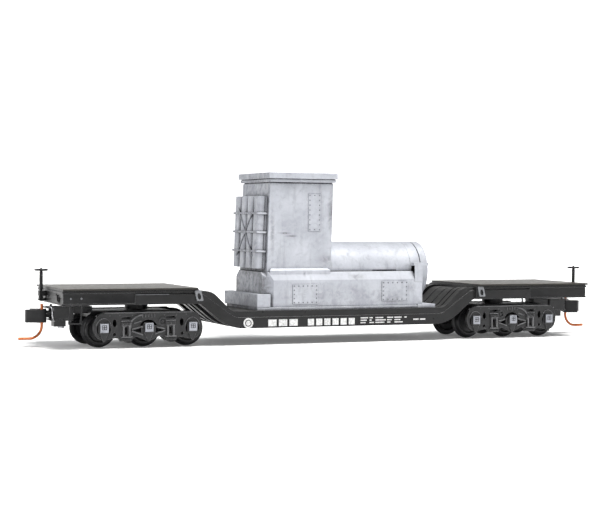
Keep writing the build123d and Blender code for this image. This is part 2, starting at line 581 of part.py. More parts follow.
# radiators lean with the tower's face
FACE_UP = Vector(TOWER_HEAD[0] - TOWER_FOOT[0], 0, TOWER_TOP - BASE_TOP).normalized()
FACE_OUT = Vector(-FACE_UP.Z, 0, FACE_UP.X)
FACE_FOOT = Vector(TOWER_FOOT[0], 0, BASE_TOP)
TUBE_PITCH = 3.15
TUBE_WIDTH = 2.60
BANK_Y = 0.33
TUBE_DEPTH = 1.82
TUBE_LENGTH = 13.05
TUBE_START = 0.60
HEADER_DEPTH = 0.4


def face_plane(height):
    """A plane square to the tower's left face: x outward, y across the car, at this height."""
    return Plane(origin=FACE_FOOT + FACE_UP * height + Vector(0, BANK_Y, 0), x_dir=FACE_OUT, z_dir=FACE_UP)


with BuildPart() as radiator_bank:
    with BuildSketch(face_plane(TUBE_START)):
        for row in (-1.5, -0.5, 0.5, 1.5):
            with Locations((TUBE_DEPTH / 2 + 0.1, row * TUBE_PITCH)):
                RectangleRounded(TUBE_DEPTH - 0.2, TUBE_WIDTH, 0.6)
        with Locations((HEADER_DEPTH / 2, 0)):
            Rectangle(HEADER_DEPTH, 3 * TUBE_PITCH + TUBE_WIDTH)
    extrude(amount=TUBE_LENGTH)

STRAP_HEIGHTS = (3.10, 6.55, 9.95)
STRAP_THICK = 0.14
STRAP_SIDE = 0.28
STRAP_WIDTH = 0.36
BANK_HALF = 1.5 * TUBE_PITCH + TUBE_WIDTH / 2
BRACE_HALF_SPAN = 4.1
BRACE_RISE = 4.4
BRACE_WIDTH = 0.26
with BuildPart() as radiator_straps:
    for height in STRAP_HEIGHTS:
        with BuildSketch(face_plane(TUBE_START + height - STRAP_WIDTH / 2)):
            with Locations((TUBE_DEPTH / 2 + STRAP_THICK / 2, 0)):
                Rectangle(TUBE_DEPTH + STRAP_THICK, 2 * (BANK_HALF + STRAP_SIDE))
            with Locations((TUBE_DEPTH / 2, 0)):
                Rectangle(TUBE_DEPTH, 2 * BANK_HALF, mode=Mode.SUBTRACT)
        extrude(amount=STRAP_WIDTH)
    brace_centre = face_plane(TUBE_START + STRAP_HEIGHTS[1]).origin + FACE_OUT * TUBE_DEPTH
    brace_plane = Plane(origin=brace_centre, x_dir=(0, 1, 0), z_dir=FACE_OUT)
    brace_angle = degrees(atan2(BRACE_RISE, BRACE_HALF_SPAN))
    brace_length = 2 * (BRACE_HALF_SPAN ** 2 + BRACE_RISE ** 2) ** 0.5
    with BuildSketch(brace_plane):
        for tilt in (-brace_angle, brace_angle):
            with Locations(Location((0, 0, 0), (0, 0, tilt))):
                Rectangle(brace_length, BRACE_WIDTH)
    extrude(amount=STRAP_THICK)

# barrel: a half round over the base that becomes a full disc beyond the base's right end
with BuildPart() as load_barrel:
    with BuildSketch(Plane.YZ.offset(TOWER_FOOT[1] - 0.3)):
        with Locations((0, BASE_TOP)):
            Circle(BARREL_RADIUS)
            with Locations((0, -BARREL_RADIUS)):
                Rectangle(4 * BARREL_RADIUS, 2 * BARREL_RADIUS, mode=Mode.SUBTRACT)
    extrude(amount=BARREL_END_X - TOWER_FOOT[1] + 0.3)
    with BuildSketch(Plane.YZ.offset(HIP_X)):
        with Locations((0, BASE_TOP)):
            Circle(BARREL_RADIUS)
    extrude(amount=BARREL_END_X - HIP_X)
    # vent slots low on both flanks, and the groove behind the flange
    for hand in (-1, 1):
        block(7.65, 12.45, hand * 4.9, hand * 5.6, 12.9, 13.2, Mode.SUBTRACT)
    with BuildSketch(Plane.YZ.offset(BARREL_END_X)):
        with Locations((0, BASE_TOP)):
            Circle(BARREL_RADIUS - 0.3)
    extrude(amount=FLANGE_START_X - BARREL_END_X)
barrel_solid = load_barrel.part - load_tower.part - load_base.part

POST_TOP = 14.50
POST_LEFT_X = 15.40
LUG_END_X = 18.30
with BuildPart() as end_bracket:
    for face_y, way in ((LOAD_NEAR_Y - 0.05, 1), (LOAD_FAR_Y + 0.05, -1)):
        block(POST_LEFT_X, BASE_RIGHT_X, face_y, face_y + way * 1.4, HIP_Z - 0.2, POST_TOP)
        block(POST_LEFT_X - 0.2, LUG_END_X, face_y, face_y + way * 1.1, POST_TOP - 0.5, POST_TOP + 0.05)
bracket_solid = end_bracket.part - load_base.part - load_barrel.part

with BuildPart() as barrel_end_plate:
    with BuildSketch(Plane.YZ.offset(FLANGE_START_X)):
        with Locations((0, BASE_TOP)):
            Circle(BARREL_RADIUS)
    extrude(amount=FLANGE_END_X - FLANGE_START_X)
    fillet(barrel_end_plate.faces().sort_by(Axis.X)[-1].edges(), 0.3)
    with Locations(Location((FLANGE_END_X, 0, BASE_TOP), (0, 90, 0))):
        Cylinder(1.5, 0.4)

# access panels on the base and the tower
PANEL_THICK = 0.12
with BuildPart() as access_panels:
    for y0, y1 in ((LOAD_NEAR_Y, LOAD_NEAR_Y - PANEL_THICK), (LOAD_FAR_Y, LOAD_FAR_Y + PANEL_THICK)):
        block(-9.25, -4.29, y0, y1, 7.16, 10.74)
        block(8.62, 13.97, y0, y1, 7.50, 11.18)
    block(-5.90, -3.44, TOWER_NEAR_Y - 0.1, TOWER_NEAR_Y, 20.34, 27.15)
    block(-5.90, -3.44, TOWER_FAR_Y, TOWER_FAR_Y + 0.1, 20.34, 27.15)

finish(load_base_solid, "load_base")
finish(load_plinth.part, "load_plinth")
finish(load_tower.part, "load_tower")
finish(load_cap.part, "load_cap")
finish(radiator_bank.part, "radiator_bank")
finish(radiator_straps.part, "radiator_straps")
finish(barrel_solid, "load_barrel")
finish(bracket_solid, "end_bracket")
finish(barrel_end_plate.part, "barrel_end_plate")
finish(access_panels.part, "access_panels")
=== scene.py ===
import json
from math import cos, pi, radians, sin

import bmesh
import bpy
from mathutils import Matrix, Vector
from mathutils.bvhtree import BVHTree

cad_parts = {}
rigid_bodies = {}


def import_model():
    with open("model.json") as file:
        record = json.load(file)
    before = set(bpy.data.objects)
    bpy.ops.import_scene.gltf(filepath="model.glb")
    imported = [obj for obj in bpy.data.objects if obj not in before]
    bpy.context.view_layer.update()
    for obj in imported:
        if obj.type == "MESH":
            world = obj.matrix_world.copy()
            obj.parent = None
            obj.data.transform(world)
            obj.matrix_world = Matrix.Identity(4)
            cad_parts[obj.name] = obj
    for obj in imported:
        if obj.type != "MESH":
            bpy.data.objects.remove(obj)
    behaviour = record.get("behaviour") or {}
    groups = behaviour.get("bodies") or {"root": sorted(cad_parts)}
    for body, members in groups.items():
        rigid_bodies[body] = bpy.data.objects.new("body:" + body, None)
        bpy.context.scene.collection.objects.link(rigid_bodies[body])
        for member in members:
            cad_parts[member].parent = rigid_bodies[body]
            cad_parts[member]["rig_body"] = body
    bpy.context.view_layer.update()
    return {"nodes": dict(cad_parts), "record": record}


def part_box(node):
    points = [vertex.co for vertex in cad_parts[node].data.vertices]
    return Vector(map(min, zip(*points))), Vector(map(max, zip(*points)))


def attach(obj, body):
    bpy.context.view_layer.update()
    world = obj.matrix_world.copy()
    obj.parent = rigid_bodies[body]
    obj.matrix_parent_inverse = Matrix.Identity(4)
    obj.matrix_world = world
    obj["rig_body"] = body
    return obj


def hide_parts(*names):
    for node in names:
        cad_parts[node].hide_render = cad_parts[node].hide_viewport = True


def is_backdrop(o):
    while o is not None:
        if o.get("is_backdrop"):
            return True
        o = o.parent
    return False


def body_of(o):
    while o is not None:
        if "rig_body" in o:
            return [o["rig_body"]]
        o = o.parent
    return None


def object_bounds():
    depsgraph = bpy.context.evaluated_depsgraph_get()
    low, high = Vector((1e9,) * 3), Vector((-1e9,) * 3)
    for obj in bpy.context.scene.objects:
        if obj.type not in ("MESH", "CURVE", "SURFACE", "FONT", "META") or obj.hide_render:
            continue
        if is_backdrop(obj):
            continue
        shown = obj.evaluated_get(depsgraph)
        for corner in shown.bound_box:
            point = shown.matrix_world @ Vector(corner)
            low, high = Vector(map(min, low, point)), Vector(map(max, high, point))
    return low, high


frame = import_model()

MM = 0.001
WELD_MM = 0.002
FLAT_DEGREES = 0.8
ENDS = {"a": -1, "b": 1}
SLOT_OF = {part["node"]: part["material_slot"] for part in frame["record"]["subparts"]}
BODY_OF = {node: body_of(frame["nodes"][node])[0] for node in SLOT_OF}


# ---- mesh helpers ---------------------------------------------------------------------------
def new_piece(name, bm, body, material, smooth_angle):
    """Turn a bmesh into a shaded object that rides on a body."""
    bmesh.ops.recalc_face_normals(bm, faces=bm.faces)
    mesh = bpy.data.meshes.new(name)
    bm.to_mesh(mesh)
    bm.free()
    obj = bpy.data.objects.new(name, mesh)
    bpy.context.scene.collection.objects.link(obj)
    mesh.materials.append(material)
    mesh.shade_smooth()
    mesh.set_sharp_from_angle(angle=radians(smooth_angle))
    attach(obj, body)
    return obj


def bevel(obj, width, segments=2, angle=28):
    """Round every edge sharper than the angle."""
    mod = obj.modifiers.new("bevel", "BEVEL")
    mod.width = width * MM
    mod.segments = segments
    mod.limit_method = "ANGLE"
    mod.angle_limit = radians(angle)
    mod.harden_normals = False
    mod.use_clamp_overlap = True


def cad_mesh(node):
    """A clean bmesh copy of a CAD node: welded, with flat areas merged to single faces."""
    bm = bmesh.new()
    bm.from_mesh(frame["nodes"][node].data)
    bmesh.ops.remove_doubles(bm, verts=bm.verts, dist=WELD_MM * MM)
    bmesh.ops.dissolve_limit(bm, angle_limit=radians(FLAT_DEGREES), verts=bm.verts, edges=bm.edges)
    return bm


def refined(node, material, width, segments=2, angle=28):
    """A piece that stands for a CAD node, with the same shape and rounded edges."""
    bm = cad_mesh(node)
    obj = new_piece(f"{node}_shell", bm, BODY_OF[node], material, smooth_angle=angle + 4)
    bevel(obj, width, segments, angle)
    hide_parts(node)


def centre_of(node):
    """The middle of a CAD node's box, in mm."""
    low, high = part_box(node)
    return (low + high) / 2 / MM


def add_box(bm, low, high):
    """Add a block to a bmesh, between two corners in mm."""
    centre = (Vector(low) + Vector(high)) / 2
    size = Vector(high) - Vector(low)
    scale = Matrix.Diagonal((abs(size.x) * MM, abs(size.y) * MM, abs(size.z) * MM, 1))
    bmesh.ops.create_cube(bm, size=1.0, matrix=Matrix.Translation(centre * MM) @ scale)


def add_rivet(bm, place, normal, radius, height, steps=10):
    """Add a domed rivet head standing on a face."""
    up = Vector(normal).normalized()
    side = up.orthogonal().normalized()
    other = up.cross(side)
    rings = []
    for level in range(4):
        tilt = level / 4 * pi / 2
        ring = []
        for step in range(steps):
            angle = 2 * pi * step / steps
            across = radius * cos(tilt)
            point = Vector(place) + (side * cos(angle) + other * sin(angle)) * across
            ring.append(bm.verts.new((point + up * height * sin(tilt)) * MM))
        rings.append(ring)
    crown = bm.verts.new((Vector(place) + up * height) * MM)
    for lower, upper in zip(rings, rings[1:]):
        for i in range(steps):
            bm.faces.new((lower[i], lower[(i + 1) % steps], upper[(i + 1) % steps], upper[i]))
    for i in range(steps):
        bm.faces.new((rings[-1][i], rings[-1][(i + 1) % steps], crown))
    bm.faces.new(list(reversed(rings[0])))


def add_lathe(bm, profile, origin, axis, steps):
    """Add a closed surface of revolution: (radius, distance along the axis) pairs in mm."""
    up = Vector(axis).normalized()
    side = up.orthogonal().normalized()
    other = up.cross(side)
    rings = []
    for radius, along in profile:
        centre = Vector(origin) + up * along
        if radius < 1e-6:
            rings.append([bm.verts.new(centre * MM)])
            continue
        ring = []
        for step in range(steps):
            angle = 2 * pi * step / steps
            ring.append(bm.verts.new((centre + (side * cos(angle) + other * sin(angle)) * radius) * MM))
        rings.append(ring)
    for lower, upper in zip(rings, rings[1:]):
        for i in range(steps):
            corners = [lower[i % len(lower)], lower[(i + 1) % len(lower)],
                       upper[(i + 1) % len(upper)], upper[i % len(upper)]]
            unique = list(dict.fromkeys(corners))
            if len(unique) > 2:
                bm.faces.new(unique)


def soften(profile, radius, steps=4):
    """Round the corners of an open outline of pairs."""
    points = [Vector(p) for p in profile]
    out = [points[0]]
    for before, corner, after in zip(points, points[1:], points[2:]):
        back = before - corner
        ahead = after - corner
        reach = min(radius, back.length * 0.45, ahead.length * 0.45)
        start = corner + back.normalized() * reach
        finish = corner + ahead.normalized() * reach
        for i in range(steps + 1):
            t = i / steps
            out.append(start * (1 - t) ** 2 + corner * (2 * t * (1 - t)) + finish * t ** 2)
    out.append(points[-1])
    return [tuple(p) for p in out]


def turned(node, material, profile, origin, axis, steps):
    """A piece of revolution that stands for a CAD node."""
    bm = bmesh.new()
    add_lathe(bm, profile, origin, axis, steps)
    obj = new_piece(f"{node}_turned", bm, BODY_OF[node], material, 30)
    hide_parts(node)


def ring_profile(radius, thick):
    """The closed section of a ring, as (radius, height) pairs."""
    steps = 16
    angles = [2 * pi * i / steps for i in range(steps + 1)]
    return [(radius + thick * cos(angle), thick * sin(angle)) for angle in angles]


def add_tube(bm, path, radius, steps):
    """Add a round rod along a list of points in mm."""
    points = [Vector(p) for p in path]
    rings = []
    side = (points[1] - points[0]).orthogonal().normalized()
    for i, point in enumerate(points):
        ahead = points[min(i + 1, len(points) - 1)] - points[max(i - 1, 0)]
        ahead.normalize()
        side = (side - ahead * side.dot(ahead)).normalized()
        other = ahead.cross(side)
        ring = []
        for step in range(steps):
            angle = 2 * pi * step / steps
            ring.append(bm.verts.new((point + (side * cos(angle) + other * sin(angle)) * radius) * MM))
        rings.append(ring)
    for lower, upper in zip(rings, rings[1:]):
        for i in range(steps):
            bm.faces.new((lower[i], lower[(i + 1) % steps], upper[(i + 1) % steps], upper[i]))
    bm.faces.new(list(reversed(rings[0])))
    bm.faces.new(rings[-1])


def add_bar(bm, start, finish, width, y0, y1):
    """Add a flat bar between two (x, z) points, as wide as given, standing from y0 to y1."""
    a = Vector(start)
    b = Vector(finish)
    along = (b - a).normalized()
    across = Vector((-along.y, along.x)) * width / 2
    corners = [a - across, b - across, b + across, a + across]
    loops = [[bm.verts.new(Vector((c.x, y, c.y)) * MM) for c in corners] for y in (y0, y1)]
    bm.faces.new(loops[0])
    bm.faces.new(list(reversed(loops[1])))
    for i in range(4):
        j = (i + 1) % 4
        bm.faces.new((loops[0][i], loops[0][j], loops[1][j], loops[1][i]))


# ---- material helpers -----------------------------------------------------------------------
class Shader:
    """A Principled material with a few shorthand calls for its procedural nodes."""

    def __init__(self, name, roughness=0.5, metallic=0.0, specular=0.5):
        self.material = bpy.data.materials.new(name)
        self.material.use_nodes = True
        self.tree = self.material.node_tree
        self.shader = self.tree.nodes["Principled BSDF"]
        self.shader.inputs["Roughness"].default_value = roughness
        self.shader.inputs["Metallic"].default_value = metallic
        self.shader.inputs["Specular IOR Level"].default_value = specular
        self.coords = self.node("ShaderNodeTexCoord").outputs["Object"]

    def node(self, kind, **settings):
        """A new node of a kind, with its settings."""
        made = self.tree.nodes.new(kind)
        for key, value in settings.items():
            setattr(made, key, value)
        return made

    def link(self, source, target):
        self.tree.links.new(source, target)

    def feed(self, socket, value):
        """Link a node output to a socket, or set a plain value on it."""
        if isinstance(value, bpy.types.NodeSocket):
            self.link(value, socket)
        else:
            socket.default_value = value

    def noise(self, per_mm, detail=4, rough=0.55, stretch=(1, 1, 1), distort=0.0):
        """Noise with about this many features per millimetre."""
        mapping = self.node("ShaderNodeMapping")
        self.link(self.coords, mapping.inputs["Vector"])
        mapping.inputs["Scale"].default_value = [s * per_mm / MM for s in stretch]
        made = self.node("ShaderNodeTexNoise")
        self.link(mapping.outputs["Vector"], made.inputs["Vector"])
        made.inputs["Scale"].default_value = 1.0
        made.inputs["Detail"].default_value = detail
        made.inputs["Roughness"].default_value = rough
        made.inputs["Distortion"].default_value = distort
        return made.outputs["Fac"]

    def remap(self, value, low, high, to_low=0.0, to_high=1.0):
        """Stretch a value from one range to another, and clamp it."""
        made = self.node("ShaderNodeMapRange")
        self.link(value, made.inputs["Value"])
        for key, number in (("From Min", low), ("From Max", high), ("To Min", to_low), ("To Max", to_high)):
            made.inputs[key].default_value = number
        return made.outputs["Result"]

    def math(self, operation, a, b):
        """A sum or product of two values, clamped between 0 and 1."""
        made = self.node("ShaderNodeMath", operation=operation, use_clamp=True)
        self.feed(made.inputs[0], a)
        self.feed(made.inputs[1], b)
        return made.outputs[0]

    def mix(self, factor, a, b):
        """Mix two colours."""
        made = self.node("ShaderNodeMix", data_type="RGBA")
        self.feed(made.inputs["Factor"], factor)
        self.feed(made.inputs[6], a)
        self.feed(made.inputs[7], b)
        return made.outputs[2]

    def rounded(self, radius_mm):
        """Normals as if the edges were rounded."""
        made = self.node("ShaderNodeBevel", samples=4)
        made.inputs["Radius"].default_value = radius_mm * MM
        return made.outputs["Normal"]

    def edges(self, radius_mm):
        """A mask that is 1 on convex and concave edges."""
        geometry = self.node("ShaderNodeNewGeometry")
        dot = self.node("ShaderNodeVectorMath", operation="DOT_PRODUCT")
        self.link(self.rounded(radius_mm), dot.inputs[0])
        self.link(geometry.outputs["Normal"], dot.inputs[1])
        return self.remap(dot.outputs["Value"], 0.98, 0.75)

    def recess(self, distance_mm, low=0.35, high=0.95):
        """A mask that is 1 in corners and hollows."""
        made = self.node("ShaderNodeAmbientOcclusion", samples=6)
        made.inputs["Distance"].default_value = distance_mm * MM
        return self.remap(made.outputs["AO"], high, low)

    def upward(self, low=0.3, high=0.9):
        """A mask that is 1 on faces that look up."""
        geometry = self.node("ShaderNodeNewGeometry")
        split = self.node("ShaderNodeSeparateXYZ")
        self.link(geometry.outputs["Normal"], split.inputs[0])
        return self.remap(split.outputs["Z"], low, high)

    def facing(self, axis):
        """A mask that is 1 on faces that look along a direction."""
        geometry = self.node("ShaderNodeNewGeometry")
        dot = self.node("ShaderNodeVectorMath", operation="DOT_PRODUCT")
        self.link(geometry.outputs["Normal"], dot.inputs[0])
        dot.inputs[1].default_value = axis
        return self.remap(dot.outputs["Value"], 0.2, 0.9)

    def spot(self, place, size):
        """A soft mask around a point in mm, with its half sizes along X, Y and Z."""
        mapping = self.node("ShaderNodeMapping", vector_type="TEXTURE")
        self.link(self.coords, mapping.inputs["Vector"])
        mapping.inputs["Location"].default_value = [p * MM for p in place]
        mapping.inputs["Scale"].default_value = [r * MM for r in size]
        length = self.node("ShaderNodeVectorMath", operation="LENGTH")
        self.link(mapping.outputs["Vector"], length.inputs[0])
        return self.remap(length.outputs["Value"], 1.0, 0.2)

    def bump(self, height, distance_mm, normal=None, strength=1.0):
        """Normals tilted by a height, on top of others if given."""
        made = self.node("ShaderNodeBump")
        made.inputs["Strength"].default_value = strength
        made.inputs["Distance"].default_value = distance_mm * MM
        self.link(height, made.inputs["Height"])
        if normal is not None:
            self.link(normal, made.inputs["Normal"])
        return made.outputs["Normal"]

    def use(self, colour, roughness, normal=None):
        """Feed the shader's main inputs, and give the finished material."""
        for key, value in (("Base Color", colour), ("Roughness", roughness), ("Normal", normal)):
            if value is not None:
                self.feed(self.shader.inputs[key], value)
        return self.material


def black_finish(name, colour, dust_and_sheen, roughness, edge_mm, grain=9.0, specular=0.25, wear_and_glint=0.09, worn_and_glint_low=0.2,
                 hollow=0.6):
    """Satin black paint or plastic: fine grain, dust on top that is also a painted sheen on the deck,
    painted shade in hollows, edges paler by wear and painted highlight.
    """
    s = Shader(name, specular=specular)
    patches = s.noise(0.35, detail=5)
    fine = s.noise(grain, detail=3)
    darker = [c * 0.75 for c in colour] + [1]
    paler = [c * 1.3 for c in colour] + [1]
    base = s.mix(s.remap(patches, 0.35, 0.7), darker, paler)
    # dust on upward faces, which on the deck is also a painted sheen on its tops
    dust_and_sheen_mask = s.math("MULTIPLY", s.upward(), s.remap(s.noise(1.1, detail=6), 0.38, 0.68, 0.1, 0.5))
    base = s.mix(dust_and_sheen_mask, base, dust_and_sheen)
    # edges paler: part wear, part painted highlight
    worn_and_glint = s.math("MULTIPLY", s.edges(edge_mm), s.remap(s.noise(2.4, detail=4), 0.35, 0.65, worn_and_glint_low, 0.9))
    base = s.mix(worn_and_glint, base, (wear_and_glint, wear_and_glint, wear_and_glint * 1.04, 1))
    # painted shade: hollows darkened to near black
    base = s.mix(s.math("MULTIPLY", s.recess(0.5, 0.2, 0.8), hollow), base, (0.003, 0.003, 0.003, 1))
    rough = s.remap(s.noise(1.6, detail=5), 0.3, 0.7, roughness - 0.07, roughness + 0.08)
    normal = s.bump(fine, 0.012, s.rounded(edge_mm), 0.5)
    return s.use(base, rough, normal)


CASTING = black_finish("satin_black_casting", (0.011, 0.011, 0.0115), (0.075, 0.071, 0.063, 1), 0.34, 0.10,
                       wear_and_glint=0.20, worn_and_glint_low=0.4)
# the deck paint is a little paler and warmer than the casting, with paler dust: partly a painted sheen on
# the deck tops
DECK = black_finish("satin_black_deck", (0.018, 0.016, 0.0135), (0.115, 0.096, 0.072, 1), 0.34, 0.06,
                    grain=6.0, specular=0.30)
TRUCK = black_finish("moulded_black_truck", (0.021, 0.021, 0.022), (0.08, 0.077, 0.072, 1), 0.36, 0.12,
                     specular=0.32, wear_and_glint=0.26, worn_and_glint_low=0.5, hollow=0.9)
# a much paler black for the raised ribs, levers and bolts on the trucks: painted highlight
RELIEF_HIGHLIGHT = black_finish("black_relief_painted_highlight", (0.10, 0.10, 0.104), (0.16, 0.155, 0.145, 1), 0.36, 0.10,
                      specular=0.35, wear_and_glint=0.42, worn_and_glint_low=0.6, hollow=0.9)
WHEEL = black_finish("moulded_black_wheel", (0.012, 0.012, 0.013), (0.05, 0.048, 0.045, 1), 0.34, 0.06)
COUPLER = black_finish("moulded_black_coupler", (0.014, 0.014, 0.015), (0.06, 0.058, 0.055, 1), 0.42, 0.06)
WIRE = black_finish("blackened_wire", (0.012, 0.012, 0.013), (0.05, 0.05, 0.05, 1), 0.36, 0.03)


LOAD_DARK = (0.33, 0.342, 0.38, 1)
LOAD_LIGHT = (0.47, 0.485, 0.525, 1)
# soft dark marks on the load, partly painted shade in gaps, under overhangs and on the left end, partly
# smudges: (place, half sizes, strength)
SHADE_AND_SMUDGE_MARKS = (
    ((-1.4, -6.5, 24.0), (0.8, 1.5, 4.5), 0.7), ((-10.5, -6.6, 20.0), (1.5, 1.0, 0.26), 0.9),
    ((-9.2, -6.6, 19.45), (1.5, 1.0, 0.24), 0.9), ((-2.2, -6.6, 15.2), (2.0, 1.5, 1.4), 0.5),
    ((-12.9, -6.6, 20.0), (0.5, 1.5, 7.0), 0.5), ((2.0, -7.4, 8.8), (17.0, 1.2, 3.4), 0.28),
    ((3.5, -7.2, 12.0), (2.0, 1.2, 0.7), 0.8), ((-6.8, -7.0, 12.6), (0.4, 1.5, 0.8), 0.8),
    ((10.5, -7.4, 8.0), (3.5, 1.0, 1.6), 0.5), ((14.6, -7.4, 10.0), (1.4, 1.0, 1.0), 0.5),
    ((3.0, -5.0, 16.2), (0.6, 1.0, 0.8), 0.6), ((-14.6, -5.9, 10.4), (1.6, 2.0, 3.8), 1.0),
    ((-14.6, 7.3, 11.0), (1.2, 2.4, 3.4), 1.0), ((-14.6, 0.5, 12.6), (1.2, 7.0, 0.8), 0.9),
    ((-13.8, 0.5, 29.4), (0.7, 9.0, 1.2), 0.5), ((-14.4, -5.8, 8.0), (0.9, 1.4, 1.6), 1.0),
)


def load_finish(name, left_side_shade, recess_mm, recess_soot_and_shade, shoulder_highlight=0.0):
    """Silver-grey paint on a casting: cloudy, dark streaks and scuffs, soot and painted shade in the
    corners, painted shade on the left faces, painted highlight on the shoulders, edges paler by wear and
    painted highlight.
    """
    s = Shader(name, metallic=0.15, specular=0.4)
    clouds = s.noise(0.22, detail=6, rough=0.6)
    blotches = s.noise(0.9, detail=5, rough=0.65, distort=0.6)
    streaks = s.noise(0.55, detail=5, rough=0.6, stretch=(1.5, 1.5, 0.16))
    grain = s.noise(7.0, detail=4, rough=0.7)
    base = s.mix(s.remap(clouds, 0.3, 0.7), LOAD_DARK, LOAD_LIGHT)
    base = s.mix(s.remap(blotches, 0.50, 0.76, 0.0, 0.5), base, (0.24, 0.25, 0.28, 1))
    base = s.mix(s.remap(streaks, 0.54, 0.76, 0.0, 0.45), base, (0.19, 0.195, 0.21, 1))
    base = s.mix(s.remap(grain, 0.55, 0.8, 0.0, 0.25), base, (0.20, 0.20, 0.22, 1))
    # painted shade on the left faces, then the separate dark marks (painted shade and smudges), painted
    # highlight on the shoulders, soot and painted shade in corners, edges paler by wear and painted
    # highlight
    left_shade_patches = s.remap(blotches, 0.3, 0.7, left_side_shade * 0.2, left_side_shade)
    left_side_shade_mask = s.math("MULTIPLY", s.facing((-1, 0, 0)), left_shade_patches)
    base = s.mix(left_side_shade_mask, base, (0.12, 0.125, 0.14, 1))
    for place, size, gain in SHADE_AND_SMUDGE_MARKS:
        shade_and_smudge = s.math("MULTIPLY", s.spot(place, size), s.remap(blotches, 0.35, 0.6, gain * 0.3, gain))
        base = s.mix(shade_and_smudge, base, (0.12, 0.12, 0.13, 1))
    # painted highlight on faces that look up
    base = s.mix(s.math("MULTIPLY", s.upward(0.15, 0.4), shoulder_highlight), base, (0.66, 0.68, 0.72, 1))
    # soot and painted shade: corners and hollows darkened
    soot_and_shade_patches = s.remap(s.noise(1.3, detail=4), 0.25, 0.6, recess_soot_and_shade, 1.0)
    soot_and_shade_mask = s.math("MULTIPLY", s.recess(recess_mm), soot_and_shade_patches)
    base = s.mix(soot_and_shade_mask, base, (0.03, 0.03, 0.034, 1))
    # edges paler: part wear, part painted highlight
    worn_and_glint = s.math("MULTIPLY", s.edges(0.10), s.remap(s.noise(1.8, detail=5), 0.4, 0.65, 0.0, 0.7))
    base = s.mix(worn_and_glint, base, (0.62, 0.64, 0.68, 1))
    rough = s.remap(blotches, 0.3, 0.75, 0.40, 0.62)
    normal = s.bump(clouds, 0.05, s.rounded(0.05), 0.35)
    normal = s.bump(grain, 0.016, normal, 0.7)
    return s.use(base, rough, normal)


def pale_finish(name, light, dark):
    """Pale grey moulded fittings, with painted shade in the hollows."""
    s = Shader(name, roughness=0.5, specular=0.4)
    base = s.mix(s.remap(s.noise(2.0, detail=5), 0.3, 0.7), dark, light)
    # painted shade in the hollows
    base = s.mix(s.recess(0.30, 0.3, 0.85), base, (0.03, 0.03, 0.035, 1))
    rough = s.remap(s.noise(4.0), 0.3, 0.7, 0.42, 0.6)
    return s.use(base, rough, s.bump(s.noise(9.0), 0.012, s.rounded(0.05), 0.5))


def marking_finish():
    """White marking paint, a little uneven and worn."""
    s = Shader("white_marking_paint", specular=0.3)
    base = s.mix(s.remap(s.noise(3.0, detail=5), 0.42, 0.72), (0.66, 0.66, 0.66, 1), (0.34, 0.34, 0.34, 1))
    return s.use(base, s.remap(s.noise(5.0), 0.3, 0.7, 0.45, 0.6), s.bump(s.noise(8.0), 0.006))


def painted_shade_finish():
    """Flat black for painted shade in grooves and hollows."""
    s = Shader("flat_black_painted_shade", specular=0.0)
    tone = s.remap(s.noise(2.5, detail=4), 0.35, 0.7)
    base = s.mix(tone, (0.001, 0.001, 0.001, 1), (0.004, 0.004, 0.004, 1))
    return s.use(base, s.remap(s.noise(5.0), 0.3, 0.7, 0.85, 0.95), s.bump(s.noise(8.0), 0.006))


def metal_finish(name, light, dark, roughness):
    """Bare wire or steel with a fine grain and faint tarnish."""
    s = Shader(name, metallic=1.0)
    grain = s.noise(6.0, detail=4)
    tarnish = s.noise(1.2, detail=5)
    base = s.mix(s.remap(tarnish, 0.35, 0.7), light, dark)
    rough = s.remap(grain, 0.3, 0.7, roughness - 0.08, roughness + 0.12)
    return s.use(base, rough, s.bump(grain, 0.006, None, 0.5))


# the numbers set painted shade on the left faces and the reach and strength of soot and painted shade in
# corners; the radiator's long reach darkens the gaps between its tubes, and BASE's last number is painted
# highlight on its shoulders
LOAD = load_finish("silver_grey_casting", 0.65, 0.8, 0.5)
RADIATOR = load_finish("silver_grey_radiator", 0.35, 1.7, 0.9)
STRAP = load_finish("grey_strap_painted_shade_and_soot", 1.0, 0.5, 0.6)
BASE = load_finish("silver_grey_base", 0.9, 0.9, 0.6, 0.22)
# dark rivet heads: soot and painted shade
RIVET = pale_finish("rivet_heads_soot_and_painted_shade", (0.22, 0.225, 0.25, 1), (0.09, 0.092, 0.10, 1))
PALE = pale_finish("pale_grey_fitting", (0.36, 0.37, 0.41, 1), (0.25, 0.26, 0.29, 1))
# grey for the roping eyes, partly a painted highlight on their faces, and for the painted highlights on the
# sills
GREY_EYE_AND_HIGHLIGHT = pale_finish("grey_roping_eye_and_highlight", (0.22, 0.225, 0.24, 1), (0.12, 0.125, 0.135, 1))
MARKING = marking_finish()
FLAT_BLACK_SHADE = painted_shade_finish()
BRONZE = metal_finish("bronze_wire", (0.50, 0.16, 0.065, 1), (0.30, 0.085, 0.032, 1), 0.36)
STEEL = metal_finish("plated_steel", (0.56, 0.56, 0.58, 1), (0.34, 0.34, 0.36, 1), 0.34)


# ---- first pass: every CAD node gets its finish ------------------------------------------------
FINISH_OF_SLOT = {
    "black_casting": CASTING, "deck_paint": DECK, "black_wire": WIRE, "black_plastic": TRUCK,
    "truck_plastic": TRUCK, "wheel_plastic": WHEEL, "coupler_plastic": COUPLER,
    "pale_fittings": PALE, "steel": STEEL, "bronze_wire": BRONZE, "load_metal": LOAD,
}
for node, slot in SLOT_OF.items():
    mesh = frame["nodes"][node].data
    mesh.materials.clear()
    mesh.materials.append(FINISH_OF_SLOT[slot])

# ---- underframe, decks and small fittings --------------------------------------------------------
refined("underframe", CASTING, 0.07)
# roping eyes in grey, partly a painted highlight
refined("roping_eyes", GREY_EYE_AND_HIGHLIGHT, 0.06)
refined("sill_steps", WIRE, 0.04)
refined("brake_brackets", WIRE, 0.05)
for name in ENDS:
    refined(f"deck_plate_{name}", DECK, 0.05)

